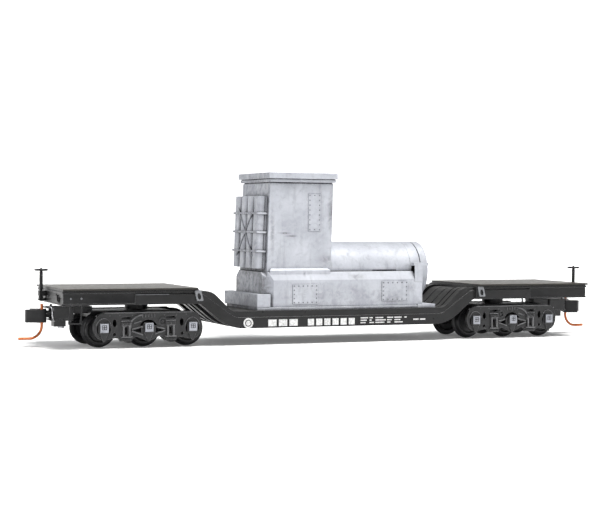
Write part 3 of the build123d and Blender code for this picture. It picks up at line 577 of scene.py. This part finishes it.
SIDE_Y = -9.13
WEB_Y = -8.55
END_X = 51.84
SILL_RIVET_Z = 8.8
SILL_RIVET_X = (-50.49, -48.66)
END_RIVET_Y = (-7.6, -6.4, 1.6, 2.8, 6.8, 8.0)
HOOK_Y = -6.0
HOOK_Z = 8.55
HOOK_RADIUS = 0.45
HOOK_WIRE = 0.11
DOUBLER_TOP = 9.355
DOUBLER_RUN = (-39.2, -33.2)
GROOVE_Y = (-6.70, -4.90, 4.90, 6.70)
GROOVE_START = 20.4
GROOVE_END = 27.3
GROOVE_STEPS = 46
GROOVE_HALF = 0.15
GROOVE_RISE = 0.015
GROOVE_DEPTH = 0.10
MARK_THICK = 0.015
MARK_LOW = 3.35
MARK_HIGH = 4.55
MARK_RING_X = -18.2
MARK_RING_Z = 4.0
LETTER_RUNS = ((-14.4, 2.05, 1.6, 3), (-6.7, 1.62, 1.2, 6))
DATA_ROW_TOPS = (4.62, 4.18, 3.74)
DATA_DASHES = (1.5, 0.9, 2.1, 1.2, 1.7, 1.0)
DATA_START = 3.8
DATA_END = 13.4
TAIL_DASHES = ((14.6, 15.7), (16.0, 17.1))


def half_turn(x, y, end):
    """A point given for end a, moved to end b by half a turn when asked."""
    return (x, y) if end < 0 else (-x, -y)


def underframe_fittings():
    """Rivets on the end sills, and the curved bracket on each end sill."""
    bm = bmesh.new()
    for end in ENDS.values():
        for y in END_RIVET_Y:
            px, py = half_turn(-END_X, y, end)
            add_rivet(bm, (px, py, SILL_RIVET_Z), (end, 0, 0), 0.15, 0.09)
        # curved bracket beside the uncoupling rod hole
        hook_x = -END_X - 0.12
        hook = [(hook_x, HOOK_Y + HOOK_RADIUS, HOOK_Z + 0.8)]
        for i in range(9):
            angle = pi * i / 8
            hook.append((hook_x, HOOK_Y + HOOK_RADIUS * cos(angle), HOOK_Z - HOOK_RADIUS * sin(angle)))
        hook.append((hook_x, HOOK_Y - HOOK_RADIUS, HOOK_Z + 0.4))
        add_tube(bm, [(*half_turn(x, y, end), z) for x, y, z in hook], HOOK_WIRE, 10)
    new_piece("underframe_fittings", bm, "car", CASTING, 40)


def sill_painted_highlights():
    """Two rivets on each side sill and the top edge of its doubler, in grey as painted highlights."""
    bm = bmesh.new()
    for end in ENDS.values():
        for x in SILL_RIVET_X:
            px, py = half_turn(x, SIDE_Y, end)
            add_rivet(bm, (px, py, SILL_RIVET_Z), (0, end, 0), 0.19, 0.11)
        ax, ay = half_turn(DOUBLER_RUN[0], SIDE_Y - 0.24, end)
        bx, by = half_turn(DOUBLER_RUN[1], SIDE_Y - 0.16, end)
        add_bar(bm, (ax, DOUBLER_TOP), (bx, DOUBLER_TOP), 0.09, ay, by)
    new_piece("sill_painted_highlights", bm, "car", GREY_EYE_AND_HIGHLIGHT, 40)


def slat_groove_shade():
    """Narrow flat-black strips of painted shade that follow the curved slats over both necks, where the
    grooves are.
    """
    shell = cad_mesh("underframe")
    surface = BVHTree.FromBMesh(shell)
    shell.free()
    bm = bmesh.new()
    for end in ENDS.values():
        for y in GROOVE_Y:
            top = []
            for i in range(GROOVE_STEPS + 1):
                x = end * (GROOVE_START + (GROOVE_END - GROOVE_START) * i / GROOVE_STEPS)
                hit = surface.ray_cast(Vector((x, y, 20)) * MM, Vector((0, 0, -1)))[0]
                top.append((x, hit.z / MM))
            rows = []
            for x, z in top:
                corners = ((y - GROOVE_HALF, z + GROOVE_RISE), (y + GROOVE_HALF, z + GROOVE_RISE),
                           (y + GROOVE_HALF, z - GROOVE_DEPTH), (y - GROOVE_HALF, z - GROOVE_DEPTH))
                rows.append([bm.verts.new(Vector((x, cy, cz)) * MM) for cy, cz in corners])
            for lower, upper in zip(rows, rows[1:]):
                for i in range(4):
                    j = (i + 1) % 4
                    bm.faces.new((lower[i], lower[j], upper[j], upper[i]))
            bm.faces.new(rows[0])
            bm.faces.new(list(reversed(rows[-1])))
    new_piece("slat_groove_shade", bm, "car", FLAT_BLACK_SHADE, 30)


def add_mark(bm, x0, x1, z0, z1, end):
    """A flat painted bar on the well's side web."""
    ax, ay = half_turn(x0, WEB_Y - MARK_THICK, end)
    bx, by = half_turn(x1, WEB_Y + 0.005, end)
    add_box(bm, (min(ax, bx), min(ay, by), z0), (max(ax, bx), max(ay, by), z1))


def web_markings():
    """Plain bars and dashes, with one plain ring, painted on both side webs."""
    bm = bmesh.new()
    for end in ENDS.values():
        middle = (*half_turn(MARK_RING_X, WEB_Y, end), MARK_RING_Z)
        outward = (0, end, 0)
        ring = soften([(0.62, 0.0), (0.62, MARK_THICK), (0.92, MARK_THICK), (0.92, 0.0)], 0.004, 2)
        add_lathe(bm, ring + [ring[0]], middle, outward, 40)
        add_lathe(bm, [(0, 0), (0.45, 0), (0.45, MARK_THICK), (0, MARK_THICK)], middle, outward, 28)
        for start, pitch, width, count in LETTER_RUNS:
            for i in range(count):
                left = start + i * pitch
                add_mark(bm, left, left + width, MARK_LOW, MARK_HIGH, end)
        for row, top in enumerate(DATA_ROW_TOPS):
            left = DATA_START
            for i, length in enumerate(DATA_DASHES):
                width = length - 0.25 * ((row + i) % 3)
                if left + width < DATA_END:
                    add_mark(bm, left, left + width, top - 0.2, top, end)
                left += length + 0.3
        for left, right in TAIL_DASHES:
            add_mark(bm, left, right, 3.95, 4.2, end)
    new_piece("web_markings", bm, "car", MARKING, 40)


underframe_fittings()
sill_painted_highlights()
slat_groove_shade()
web_markings()

# ---- brake staffs and hand wheels ----------------------------------------------------------------
UP = (0, 0, 1)
STAFF_R = 0.23
SLEEVE_R = 0.31
COLLAR_R = 0.38
TIP_R = 0.16
COLLAR_LOW = 8.33
COLLAR_HIGH = 8.7
RIM_R = 1.05
RIM_WIRE = 0.17
HUB_HALF = 0.15
SPOKES = 6
SPOKE_WIRE = 0.11
for name in ENDS:
    x, y, z = centre_of(f"brake_staff_{name}")
    low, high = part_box(f"brake_staff_{name}")
    bottom = low.z / MM
    top = high.z / MM
    staff = [(0, bottom), (STAFF_R, bottom), (STAFF_R, COLLAR_LOW), (COLLAR_R, COLLAR_LOW),
             (COLLAR_R, COLLAR_HIGH), (STAFF_R, COLLAR_HIGH), (STAFF_R, 9.75), (SLEEVE_R, 9.95),
             (SLEEVE_R, top - 0.7), (STAFF_R, top - 0.6), (STAFF_R, top - 0.2), (TIP_R, top - 0.2),
             (TIP_R, top), (0, top)]
    turned(f"brake_staff_{name}", WIRE, soften(staff, 0.05), (x, y, 0), UP, 32)
    centre = centre_of(f"hand_wheel_{name}")
    bm = bmesh.new()
    add_lathe(bm, ring_profile(RIM_R, RIM_WIRE), centre, UP, 64)
    hub = soften([(0.24, -HUB_HALF), (0.38, -HUB_HALF), (0.38, HUB_HALF), (0.24, HUB_HALF)], 0.05)
    add_lathe(bm, hub + [hub[0]], centre, UP, 32)
    for i in range(SPOKES):
        angle = 2 * pi * i / SPOKES
        way = Vector((cos(angle), sin(angle), 0))
        add_tube(bm, [centre + way * 0.33, centre + way * 1.0], SPOKE_WIRE, 10)
    wheel = new_piece(f"hand_wheel_{name}_rim", bm, BODY_OF[f"hand_wheel_{name}"], WIRE, 40)
    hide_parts(f"hand_wheel_{name}")

# ---- trucks ------------------------------------------------------------------------------------------
TRUCK_X = 36.35
FACE_Y = 7.55
AXLE_X = (-8.0, 0.0, 8.0)
AXLE_Z = 3.5
SPRING_X = (-4.0, 4.0)
SPRING_Y = FACE_Y + 0.3
PLATE_Y = FACE_Y + 0.36
# ribs on the side frame: (x0, z0, x1, z1, width, thickness)
WINDOW_RIBS = ((-3.0, 3.3, -1.05, 3.75, 0.2, 0.22), (-3.0, 3.0, -1.05, 2.3, 0.2, 0.22),
               (3.0, 3.3, 1.5, 3.6, 0.16, 0.14), (3.0, 3.0, 1.2, 2.4, 0.16, 0.14))
LEVER_RIBS = ((-2.6, 4.35, -1.3, 4.72, 0.18, 0.2), (-3.3, 3.5, -3.3, 4.45, 0.28, 0.3))
SMALL_RIB_X = (-1.1, -0.55, 0, 0.55, 1.1)
PLATE_Z = 1.97
LEVER = ((-3.15, 4.65), (-2.85, 5.05), (-2.4, 5.4), (-1.85, 5.65), (-1.2, 5.8))
CHORD_BOLT_X = (-9.3, -6.9, -5.1, -2.9, 2.9, 5.1, 6.9, 9.3)
LIPS = ((-16.5, 6.78, 7.05), (-15.85, 4.62, 4.9))
LIP_INNER_X = -15.3
LIP_HALF = 1.8
CLIP = ((-16.1, -1.5, 7.12), (-15.75, -2.15, 7.0), (-15.7, -2.32, 6.6), (-15.7, -2.32, 5.5),
        (-15.6, -2.25, 5.1), (-15.45, -2.15, 4.75), (-15.25, -2.03, 4.55))
CLIP_WIRE = 0.1
LID_Y = 8.16
LID_Z = 3.61
LID_WINDOW_HALF = 0.43


def truck_place(end, x, y, z):
    """A point in the frame of the truck at end a, placed for either truck."""
    return (x - TRUCK_X, y, z) if end < 0 else (TRUCK_X - x, -y, z)


def truck_fittings(name, end):
    """Levers, ribs and rims on both side frames of a truck, and bolt heads that point inwards."""
    bm = bmesh.new()
    for hand in (-1, 1):
        inward = (0, hand * end, 0)

        def bolt(x, z, y=FACE_Y, radius=0.14, height=0.10):
            add_rivet(bm, truck_place(end, x, hand * y, z), inward, radius, height, 8)

        def rib(x0, z0, x1, z1, width, thick, y=FACE_Y):
            ax, ay, az = truck_place(end, x0, hand * (y - 0.05), z0)
            bx, by, bz = truck_place(end, x1, hand * (y + thick), z1)
            add_bar(bm, (ax, az), (bx, bz), width, ay, by)

        # ribs that frame the windows beside the middle box, and the levers above its left shoulder
        for sizes in WINDOW_RIBS:
            rib(*sizes)
        for (x0, z0), (x1, z1) in zip(LEVER, LEVER[1:]):
            rib(x0, z0, x1, z1, 0.26, 0.3)
        for sizes in LEVER_RIBS:
            rib(*sizes)
        # small vertical ribs under the top chord between the springs and the middle box
        for x in SMALL_RIB_X:
            rib(x, 5.35, x, 5.95, 0.12, 0.12)
        # two bars and the cross bars of each spring group
        for x in SPRING_X:
            for bar in (-0.54, 0.54):
                rib(x + bar, 2.12, x + bar, 3.86, 0.26, 0.05, SPRING_Y)
            rib(x - 0.95, PLATE_Z, x + 0.95, PLATE_Z, 0.14, 0.05, PLATE_Y)
            rib(x - 0.9, 4.77, x + 0.9, 4.77, 0.14, 0.05, FACE_Y + 0.2)
            rib(x - 0.8, 3.95, x + 0.8, 3.95, 0.1, 0.05, SPRING_Y)
        # line along the top chord
        rib(-7.9, 6.2, 7.9, 6.2, 0.1, 0.04, FACE_Y + 0.18)
        # shoulder arcs over the outer boxes
        for x in (AXLE_X[0], AXLE_X[2]):
            angles = [a * pi / 12 for a in range(1, 12)]
            arc = [(x + 1.35 * cos(angle), AXLE_Z + 1.75 * sin(angle)) for angle in angles]
            for (x0, z0), (x1, z1) in zip(arc, arc[1:]):
                rib(x0, z0, x1, z1, 0.12, 0.1)
        # bolt heads, which show their flat sides at most
        for x in CHORD_BOLT_X:
            bolt(x, 5.72)
        for x in SPRING_X:
            for bar in (-0.85, 0.85):
                bolt(x + bar, PLATE_Z, PLATE_Y, 0.1, 0.07)
            for bar in (-0.6, 0.6):
                bolt(x + bar, 4.2, SPRING_Y, 0.1, 0.07)
        for x in AXLE_X:
            for dx in (-0.6, 0.6):
                bolt(x + dx, 2.45, FACE_Y + 0.28, 0.1, 0.07)
        bolt(2.55, 4.6, FACE_Y + 0.08, 0.2, 0.14)
    # the fittings take the paler black: painted highlight on the raised relief
    obj = new_piece(f"truck_fittings_{name}", bm, f"truck_{name}", RELIEF_HIGHLIGHT, 40)
    bevel(obj, 0.035, 2, 40)


def span(a, b):
    """The low and high corners of the block between two placed points."""
    return [min(p, q) for p, q in zip(a, b)], [max(p, q) for p, q in zip(a, b)]


def box_mouth(name, end):
    """Lips above and below the coupler box mouth, and the bright wire clip between them."""
    bm = bmesh.new()
    for x0, z0, z1 in LIPS:
        low, high = span(truck_place(end, x0, -LIP_HALF, z0), truck_place(end, LIP_INNER_X, LIP_HALF, z1))
        add_box(bm, low, high)
    lips = new_piece(f"box_lips_{name}", bm, f"truck_{name}", TRUCK, 40)
    bevel(lips, 0.07)
    bm = bmesh.new()
    add_tube(bm, [truck_place(end, *p) for p in CLIP], CLIP_WIRE, 10)
    new_piece(f"box_clip_{name}", bm, f"truck_{name}", STEEL, 50)


def lid_window_shade(name, end):
    """A dark sheet of painted shade in the window of each journal lid."""
    bm = bmesh.new()
    for hand in (-1, 1):
        for x in AXLE_X:
            inner = truck_place(end, x - LID_WINDOW_HALF, hand * (LID_Y - 0.075), LID_Z - 0.30)
            outer = truck_place(end, x + LID_WINDOW_HALF, hand * (LID_Y - 0.055), LID_Z + 0.50)
            low, high = span(inner, outer)
            add_box(bm, low, high)
    new_piece(f"lid_window_shade_{name}", bm, f"truck_{name}", WHEEL, 40)


for name, end in ENDS.items():
    refined(f"truck_frame_{name}", TRUCK, 0.06)
    refined(f"journal_lids_{name}", PALE, 0.05)
    refined(f"coupler_box_lid_{name}", TRUCK, 0.06)
    truck_fittings(name, end)
    box_mouth(name, end)
    lid_window_shade(name, end)

# half of a wheelset from its middle outwards: (radius, distance along the axle)
WHEEL_HALF = [(0.50, 0.0), (0.50, 3.35), (0.95, 3.7), (1.1, 4.15), (2.1, 4.15), (2.25, 3.80), (2.95, 3.80),
              (3.13, 3.98), (3.13, 4.10), (2.72, 4.32), (2.63, 4.50), (2.57, 5.25), (2.48, 5.35),
              (2.12, 5.35), (2.0, 4.95), (0.95, 5.10), (0.85, 5.40), (0.55, 5.45), (0.50, 6.3),
              (0.35, 6.5), (0.35, 7.1), (0.1, 7.3), (0.0, 7.3)]
FULL_WHEELSET = [(r, -d) for r, d in reversed(WHEEL_HALF[1:])] + WHEEL_HALF[1:]
for name in ENDS:
    for number in (1, 2, 3):
        node = f"wheelset_{name}{number}"
        turned(node, WHEEL, soften(FULL_WHEELSET, 0.09, 3), centre_of(node), (0, 1, 0), 96)

# ---- couplers ---------------------------------------------------------------------------------------
COUPLER_X = TRUCK_X + 13.60
PIN_TOP = 7.55
PIN_BEND_Z = 3.75
PIN_LOW_Z = 1.55
PIN_X = -3.5
PIN_Y = -0.42
PIN_RADIUS = 0.24
for name, end in ENDS.items():
    refined(f"coupler_guard_half_{name}", COUPLER, 0.09, 3)
    refined(f"coupler_knuckle_half_{name}", COUPLER, 0.09, 3)
    bend = PIN_BEND_Z - PIN_LOW_Z
    path = [(PIN_X, PIN_TOP), (PIN_X, PIN_TOP - 0.06), (PIN_X, PIN_BEND_Z + 0.1)]
    for i in range(13):
        angle = pi / 2 * i / 12
        path.append((PIN_X - bend * (1 - cos(angle)), PIN_BEND_Z - bend * sin(angle)))
    path += [(-6.6, PIN_LOW_Z + 0.01), (-7.6, PIN_LOW_Z + 0.02)]
    bm = bmesh.new()
    points = [(*half_turn(x - COUPLER_X, PIN_Y, end), z) for x, z in path]
    add_tube(bm, points, PIN_RADIUS, 20)
    pin = new_piece(f"trip_pin_{name}_wire", bm, BODY_OF[f"trip_pin_{name}"], BRONZE, 50)
    bevel(pin, 0.05, 2, 50)
    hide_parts(f"trip_pin_{name}")

# ---- load -------------------------------------------------------------------------------------
refined("load_base", BASE, 0.10, 2, 16)
for node, width in (("load_plinth", 0.10), ("load_tower", 0.10), ("load_cap", 0.12),
                    ("end_bracket", 0.12), ("access_panels", 0.04)):
    refined(node, LOAD, width)
refined("radiator_bank", RADIATOR, 0.12, 3)
refined("radiator_straps", STRAP, 0.04)

BARREL_R = 5.40
BARREL_Z = 12.95
HIP_X = 15.54
VENT_START = 7.65
VENT_END = 12.45
VENT_REACH = 4.9
VENT_TOP = 0.25
RIM_GROOVE_X = 17.60
FLANGE_START = 17.72
FLANGE_FACE = 19.25
PANEL_FACES = ((-1, -7.52), (1, 8.22))
PANELS = ((-9.25, -4.29, 7.16, 10.74), (8.62, 13.97, 7.50, 11.18))
PANEL_ROWS = (6, 5)
PANEL_MARGIN = 0.3
TOWER_FACES = ((-1, -6.6), (1, 7.4))
TOWER_PANEL = (-5.9, 2.46, 20.34, 6.81)
TOWER_ROWS = (3, 8)
BRACKET_RIVET_Y = (-6.9, -5.9)
BRACKET_HOLLOW_X = (15.35, 15.45)
BRACKET_HOLLOW_Y = ((-7.30, -6.06), (7.0, 7.6))
BRACKET_HOLLOW_Z = (12.55, 13.95)


def barrel_ring(x, notched):
    """The section of the half-round barrel at x, with or without its two low vent slots."""
    first = VENT_TOP / BARREL_R
    arc = []
    for i in range(65):
        angle = first + (pi - 2 * first) * i / 64
        arc.append((x, -BARREL_R * cos(angle), BARREL_Z + BARREL_R * sin(angle)))
    reach = VENT_REACH if notched else BARREL_R
    near_y = -reach if notched else arc[0][1]
    far_y = reach if notched else arc[-1][1]
    near = [(x, -reach, BARREL_Z), (x, near_y, BARREL_Z + VENT_TOP)]
    far = [(x, far_y, BARREL_Z + VENT_TOP), (x, reach, BARREL_Z)]
    return near + arc + far


def make_barrel():
    """The half-round barrel, its full round end and the groove behind the flange."""
    bm = bmesh.new()
    low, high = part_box("load_barrel")
    stations = [(low.x / MM, False), (VENT_START, False), (VENT_START, True),
                (VENT_END, True), (VENT_END, False), (HIP_X, False)]
    rings = []
    for x, notched in stations:
        rings.append([bm.verts.new(Vector(p) * MM) for p in barrel_ring(x, notched)])
    count = len(rings[0])
    for lower, upper in zip(rings, rings[1:]):
        for i in range(count):
            j = (i + 1) % count
            bm.faces.new((lower[i], lower[j], upper[j], upper[i]))
    bm.faces.new(rings[0])
    bm.faces.new(list(reversed(rings[-1])))
    bmesh.ops.remove_doubles(bm, verts=bm.verts, dist=0.001 * MM)
    bmesh.ops.dissolve_degenerate(bm, edges=bm.edges, dist=0.001 * MM)
    neck_r = BARREL_R - 0.3
    end_round = soften([(0, HIP_X), (BARREL_R, HIP_X), (BARREL_R, RIM_GROOVE_X), (neck_r, RIM_GROOVE_X),
                        (neck_r, FLANGE_START), (0, FLANGE_START)], 0.08)
    add_lathe(bm, end_round, (0, 0, BARREL_Z), (1, 0, 0), 128)
    obj = new_piece("load_barrel_shell", bm, "load", LOAD, 30)
    bevel(obj, 0.06, 2, 40)
    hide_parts("load_barrel")


def make_flange():
    """The end flange with its raised centre."""
    floor = FLANGE_FACE - 0.12
    boss = FLANGE_FACE + 0.2
    profile = soften([(0, FLANGE_START), (BARREL_R, FLANGE_START), (BARREL_R, FLANGE_FACE),
                      (BARREL_R - 0.6, FLANGE_FACE), (BARREL_R - 0.75, floor), (1.75, floor),
                      (1.5, FLANGE_FACE), (1.5, boss), (0, boss)], 0.15)
    turned("barrel_end_plate", LOAD, profile, (0, 0, BARREL_Z), (1, 0, 0), 128)


def frame_places(columns, rows):
    """The grid places along the border of a panel, as fractions of its width and height."""
    places = []
    for i in range(columns):
        for j in range(rows):
            if i in (0, columns - 1) or j in (0, rows - 1):
                places.append((i / (columns - 1), j / (rows - 1)))
    return places


def load_rivets():
    """Round heads along the edges of the access panels and the tower panel, and on the bracket."""
    bm = bmesh.new()
    for side, face_y in PANEL_FACES:
        for x0, x1, z0, z1 in PANELS:
            for across, up in frame_places(*PANEL_ROWS):
                x = x0 + PANEL_MARGIN + (x1 - x0 - 2 * PANEL_MARGIN) * across
                z = z0 + PANEL_MARGIN + (z1 - z0 - 2 * PANEL_MARGIN) * up
                add_rivet(bm, (x, face_y, z), (0, side, 0), 0.13, 0.09, 8)
    left, width, bottom, height = TOWER_PANEL
    for side, face_y in TOWER_FACES:
        for across, up in frame_places(*TOWER_ROWS):
            x = left + 0.28 + (width - 0.56) * across
            z = bottom + PANEL_MARGIN + (height - 2 * PANEL_MARGIN) * up
            add_rivet(bm, (x, face_y, z), (0, side, 0), 0.12, 0.08, 8)
    for y in BRACKET_RIVET_Y:
        add_rivet(bm, (17.05, y, 13.2), (1, 0, 0), 0.18, 0.12, 10)
    # the rivet heads take the dark material: soot and painted shade
    new_piece("load_rivets", bm, "load", RIVET, 50)


def bracket_shadow():
    """A thin flat-black sheet of painted shadow on the left side of each post of the end bracket."""
    bm = bmesh.new()
    left, right = BRACKET_HOLLOW_X
    bottom, top = BRACKET_HOLLOW_Z
    for low_y, high_y in BRACKET_HOLLOW_Y:
        add_box(bm, (left, low_y, bottom), (right, high_y, top))
    new_piece("bracket_shadow", bm, "load", FLAT_BLACK_SHADE, 40)


make_barrel()
make_flange()
load_rivets()
bracket_shadow()

# ---- camera, lights and floor -------------------------------------------------------------------
CAMERA_PLACE = (-113.8, -259.45, 22.62)
CAMERA_YAW = 22.8
CAMERA_PITCH = -1.66
CAMERA_ROLL = 0.4
CAMERA_LENS = 90.8
LIGHT_TARGET = (0, 0, 0.01)
FLOOR_DEPTH = 1.6
FLOOR_BEND = 0.45
GLOW = 0.80
GLOW_REACH = 420
WORLD_SIDE = 0.16
WORLD_LOW = 0.9
WORLD_BACK = 0.40


def make_camera():
    """The camera that sees the car as the photo does."""
    data = bpy.data.cameras.new("camera")
    data.lens = CAMERA_LENS
    data.sensor_width = 36
    data.clip_start = 0.005
    data.clip_end = 20
    camera = bpy.data.objects.new("camera", data)
    bpy.context.scene.collection.objects.link(camera)
    camera.location = Vector(CAMERA_PLACE) * MM
    aim = Matrix.Rotation(radians(-CAMERA_YAW), 4, "Z") @ Matrix.Rotation(radians(90 + CAMERA_PITCH), 4, "X")
    camera.rotation_euler = (aim @ Matrix.Rotation(radians(CAMERA_ROLL), 4, "Z")).to_euler()
    bpy.context.scene.camera = camera


def make_light(name, place, size, power, colour):
    """A round area light aimed at the car."""
    data = bpy.data.lights.new(name, "AREA")
    data.shape = "DISK"
    data.size = size
    data.energy = power
    data.color = colour
    light = bpy.data.objects.new(name, data)
    bpy.context.scene.collection.objects.link(light)
    light.location = place
    light.rotation_euler = (Vector(LIGHT_TARGET) - Vector(place)).to_track_quat("-Z", "Y").to_euler()


def make_floor():
    """A pale floor that curves up into a low plain wall behind the car and glows white away from it."""
    bm = bmesh.new()
    path = [(-2.5, 0.0), (-0.5, 0.0), (0.5, 0.0)]
    for step in range(17):
        angle = step * pi / 32
        path.append((FLOOR_DEPTH + FLOOR_BEND * sin(angle), FLOOR_BEND * (1 - cos(angle))))
    rows = []
    for y, z in path:
        rows.append([bm.verts.new((x, y, z)) for x in (-4.0, 4.0)])
    for lower, upper in zip(rows, rows[1:]):
        bm.faces.new((lower[0], lower[1], upper[1], upper[0]))
    mesh = bpy.data.meshes.new("floor")
    bm.to_mesh(mesh)
    bm.free()
    mesh.shade_smooth()
    floor = bpy.data.objects.new("floor", mesh)
    bpy.context.scene.collection.objects.link(floor)
    s = Shader("pale_floor", specular=0.1)
    tone = s.mix(s.noise(0.01, detail=3), (0.86, 0.86, 0.86, 1), (0.90, 0.90, 0.90, 1))
    glow = s.math("SUBTRACT", 1.0, s.spot((0, 0, 0), (GLOW_REACH,) * 3))
    s.link(s.remap(glow, 0.0, 1.0, 0.10, GLOW), s.shader.inputs["Emission Strength"])
    s.shader.inputs["Emission Color"].default_value = (1, 1, 1, 1)
    mesh.materials.append(s.use(tone, 0.85))
    floor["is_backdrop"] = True


def make_world():
    """Soft studio surroundings: a white band at the horizon, dim above it, a little light in front."""
    world = bpy.data.worlds.new("world")
    bpy.context.scene.world = world
    world.use_nodes = True
    nodes = world.node_tree.nodes
    links = world.node_tree.links
    split = nodes.new("ShaderNodeSeparateXYZ")
    links.new(nodes.new("ShaderNodeTexCoord").outputs["Generated"], split.inputs[0])

    def remap(output, low, high, to_low, to_high):
        made = nodes.new("ShaderNodeMapRange")
        links.new(split.outputs[output], made.inputs["Value"])
        for key, number in (("From Min", low), ("From Max", high), ("To Min", to_low), ("To Max", to_high)):
            made.inputs[key].default_value = number
        return made.outputs["Result"]

    front = remap("Y", 0.3, -0.3, WORLD_BACK, WORLD_SIDE)
    band = remap("Z", 0.16, 0.22, WORLD_LOW, 0.0)
    either = nodes.new("ShaderNodeMath")
    either.operation = "MAXIMUM"
    links.new(front, either.inputs[0])
    links.new(band, either.inputs[1])
    links.new(either.outputs[0], nodes["Background"].inputs["Strength"])
    nodes["Background"].inputs["Color"].default_value = (0.96, 0.98, 1.0, 1)


make_camera()
make_floor()
make_light("overhead", (0.12, -0.26, 0.85), 0.50, 12.5, (1.0, 0.995, 0.98))
make_light("front", (0.45, -0.9, 0.30), 0.4, 1.2, (1, 1, 1))
make_light("left", (-0.9, -0.10, 0.40), 0.4, 4.0, (1, 1, 1))
make_world()

bpy.context.scene.view_settings.view_transform = "Standard"

low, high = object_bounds()
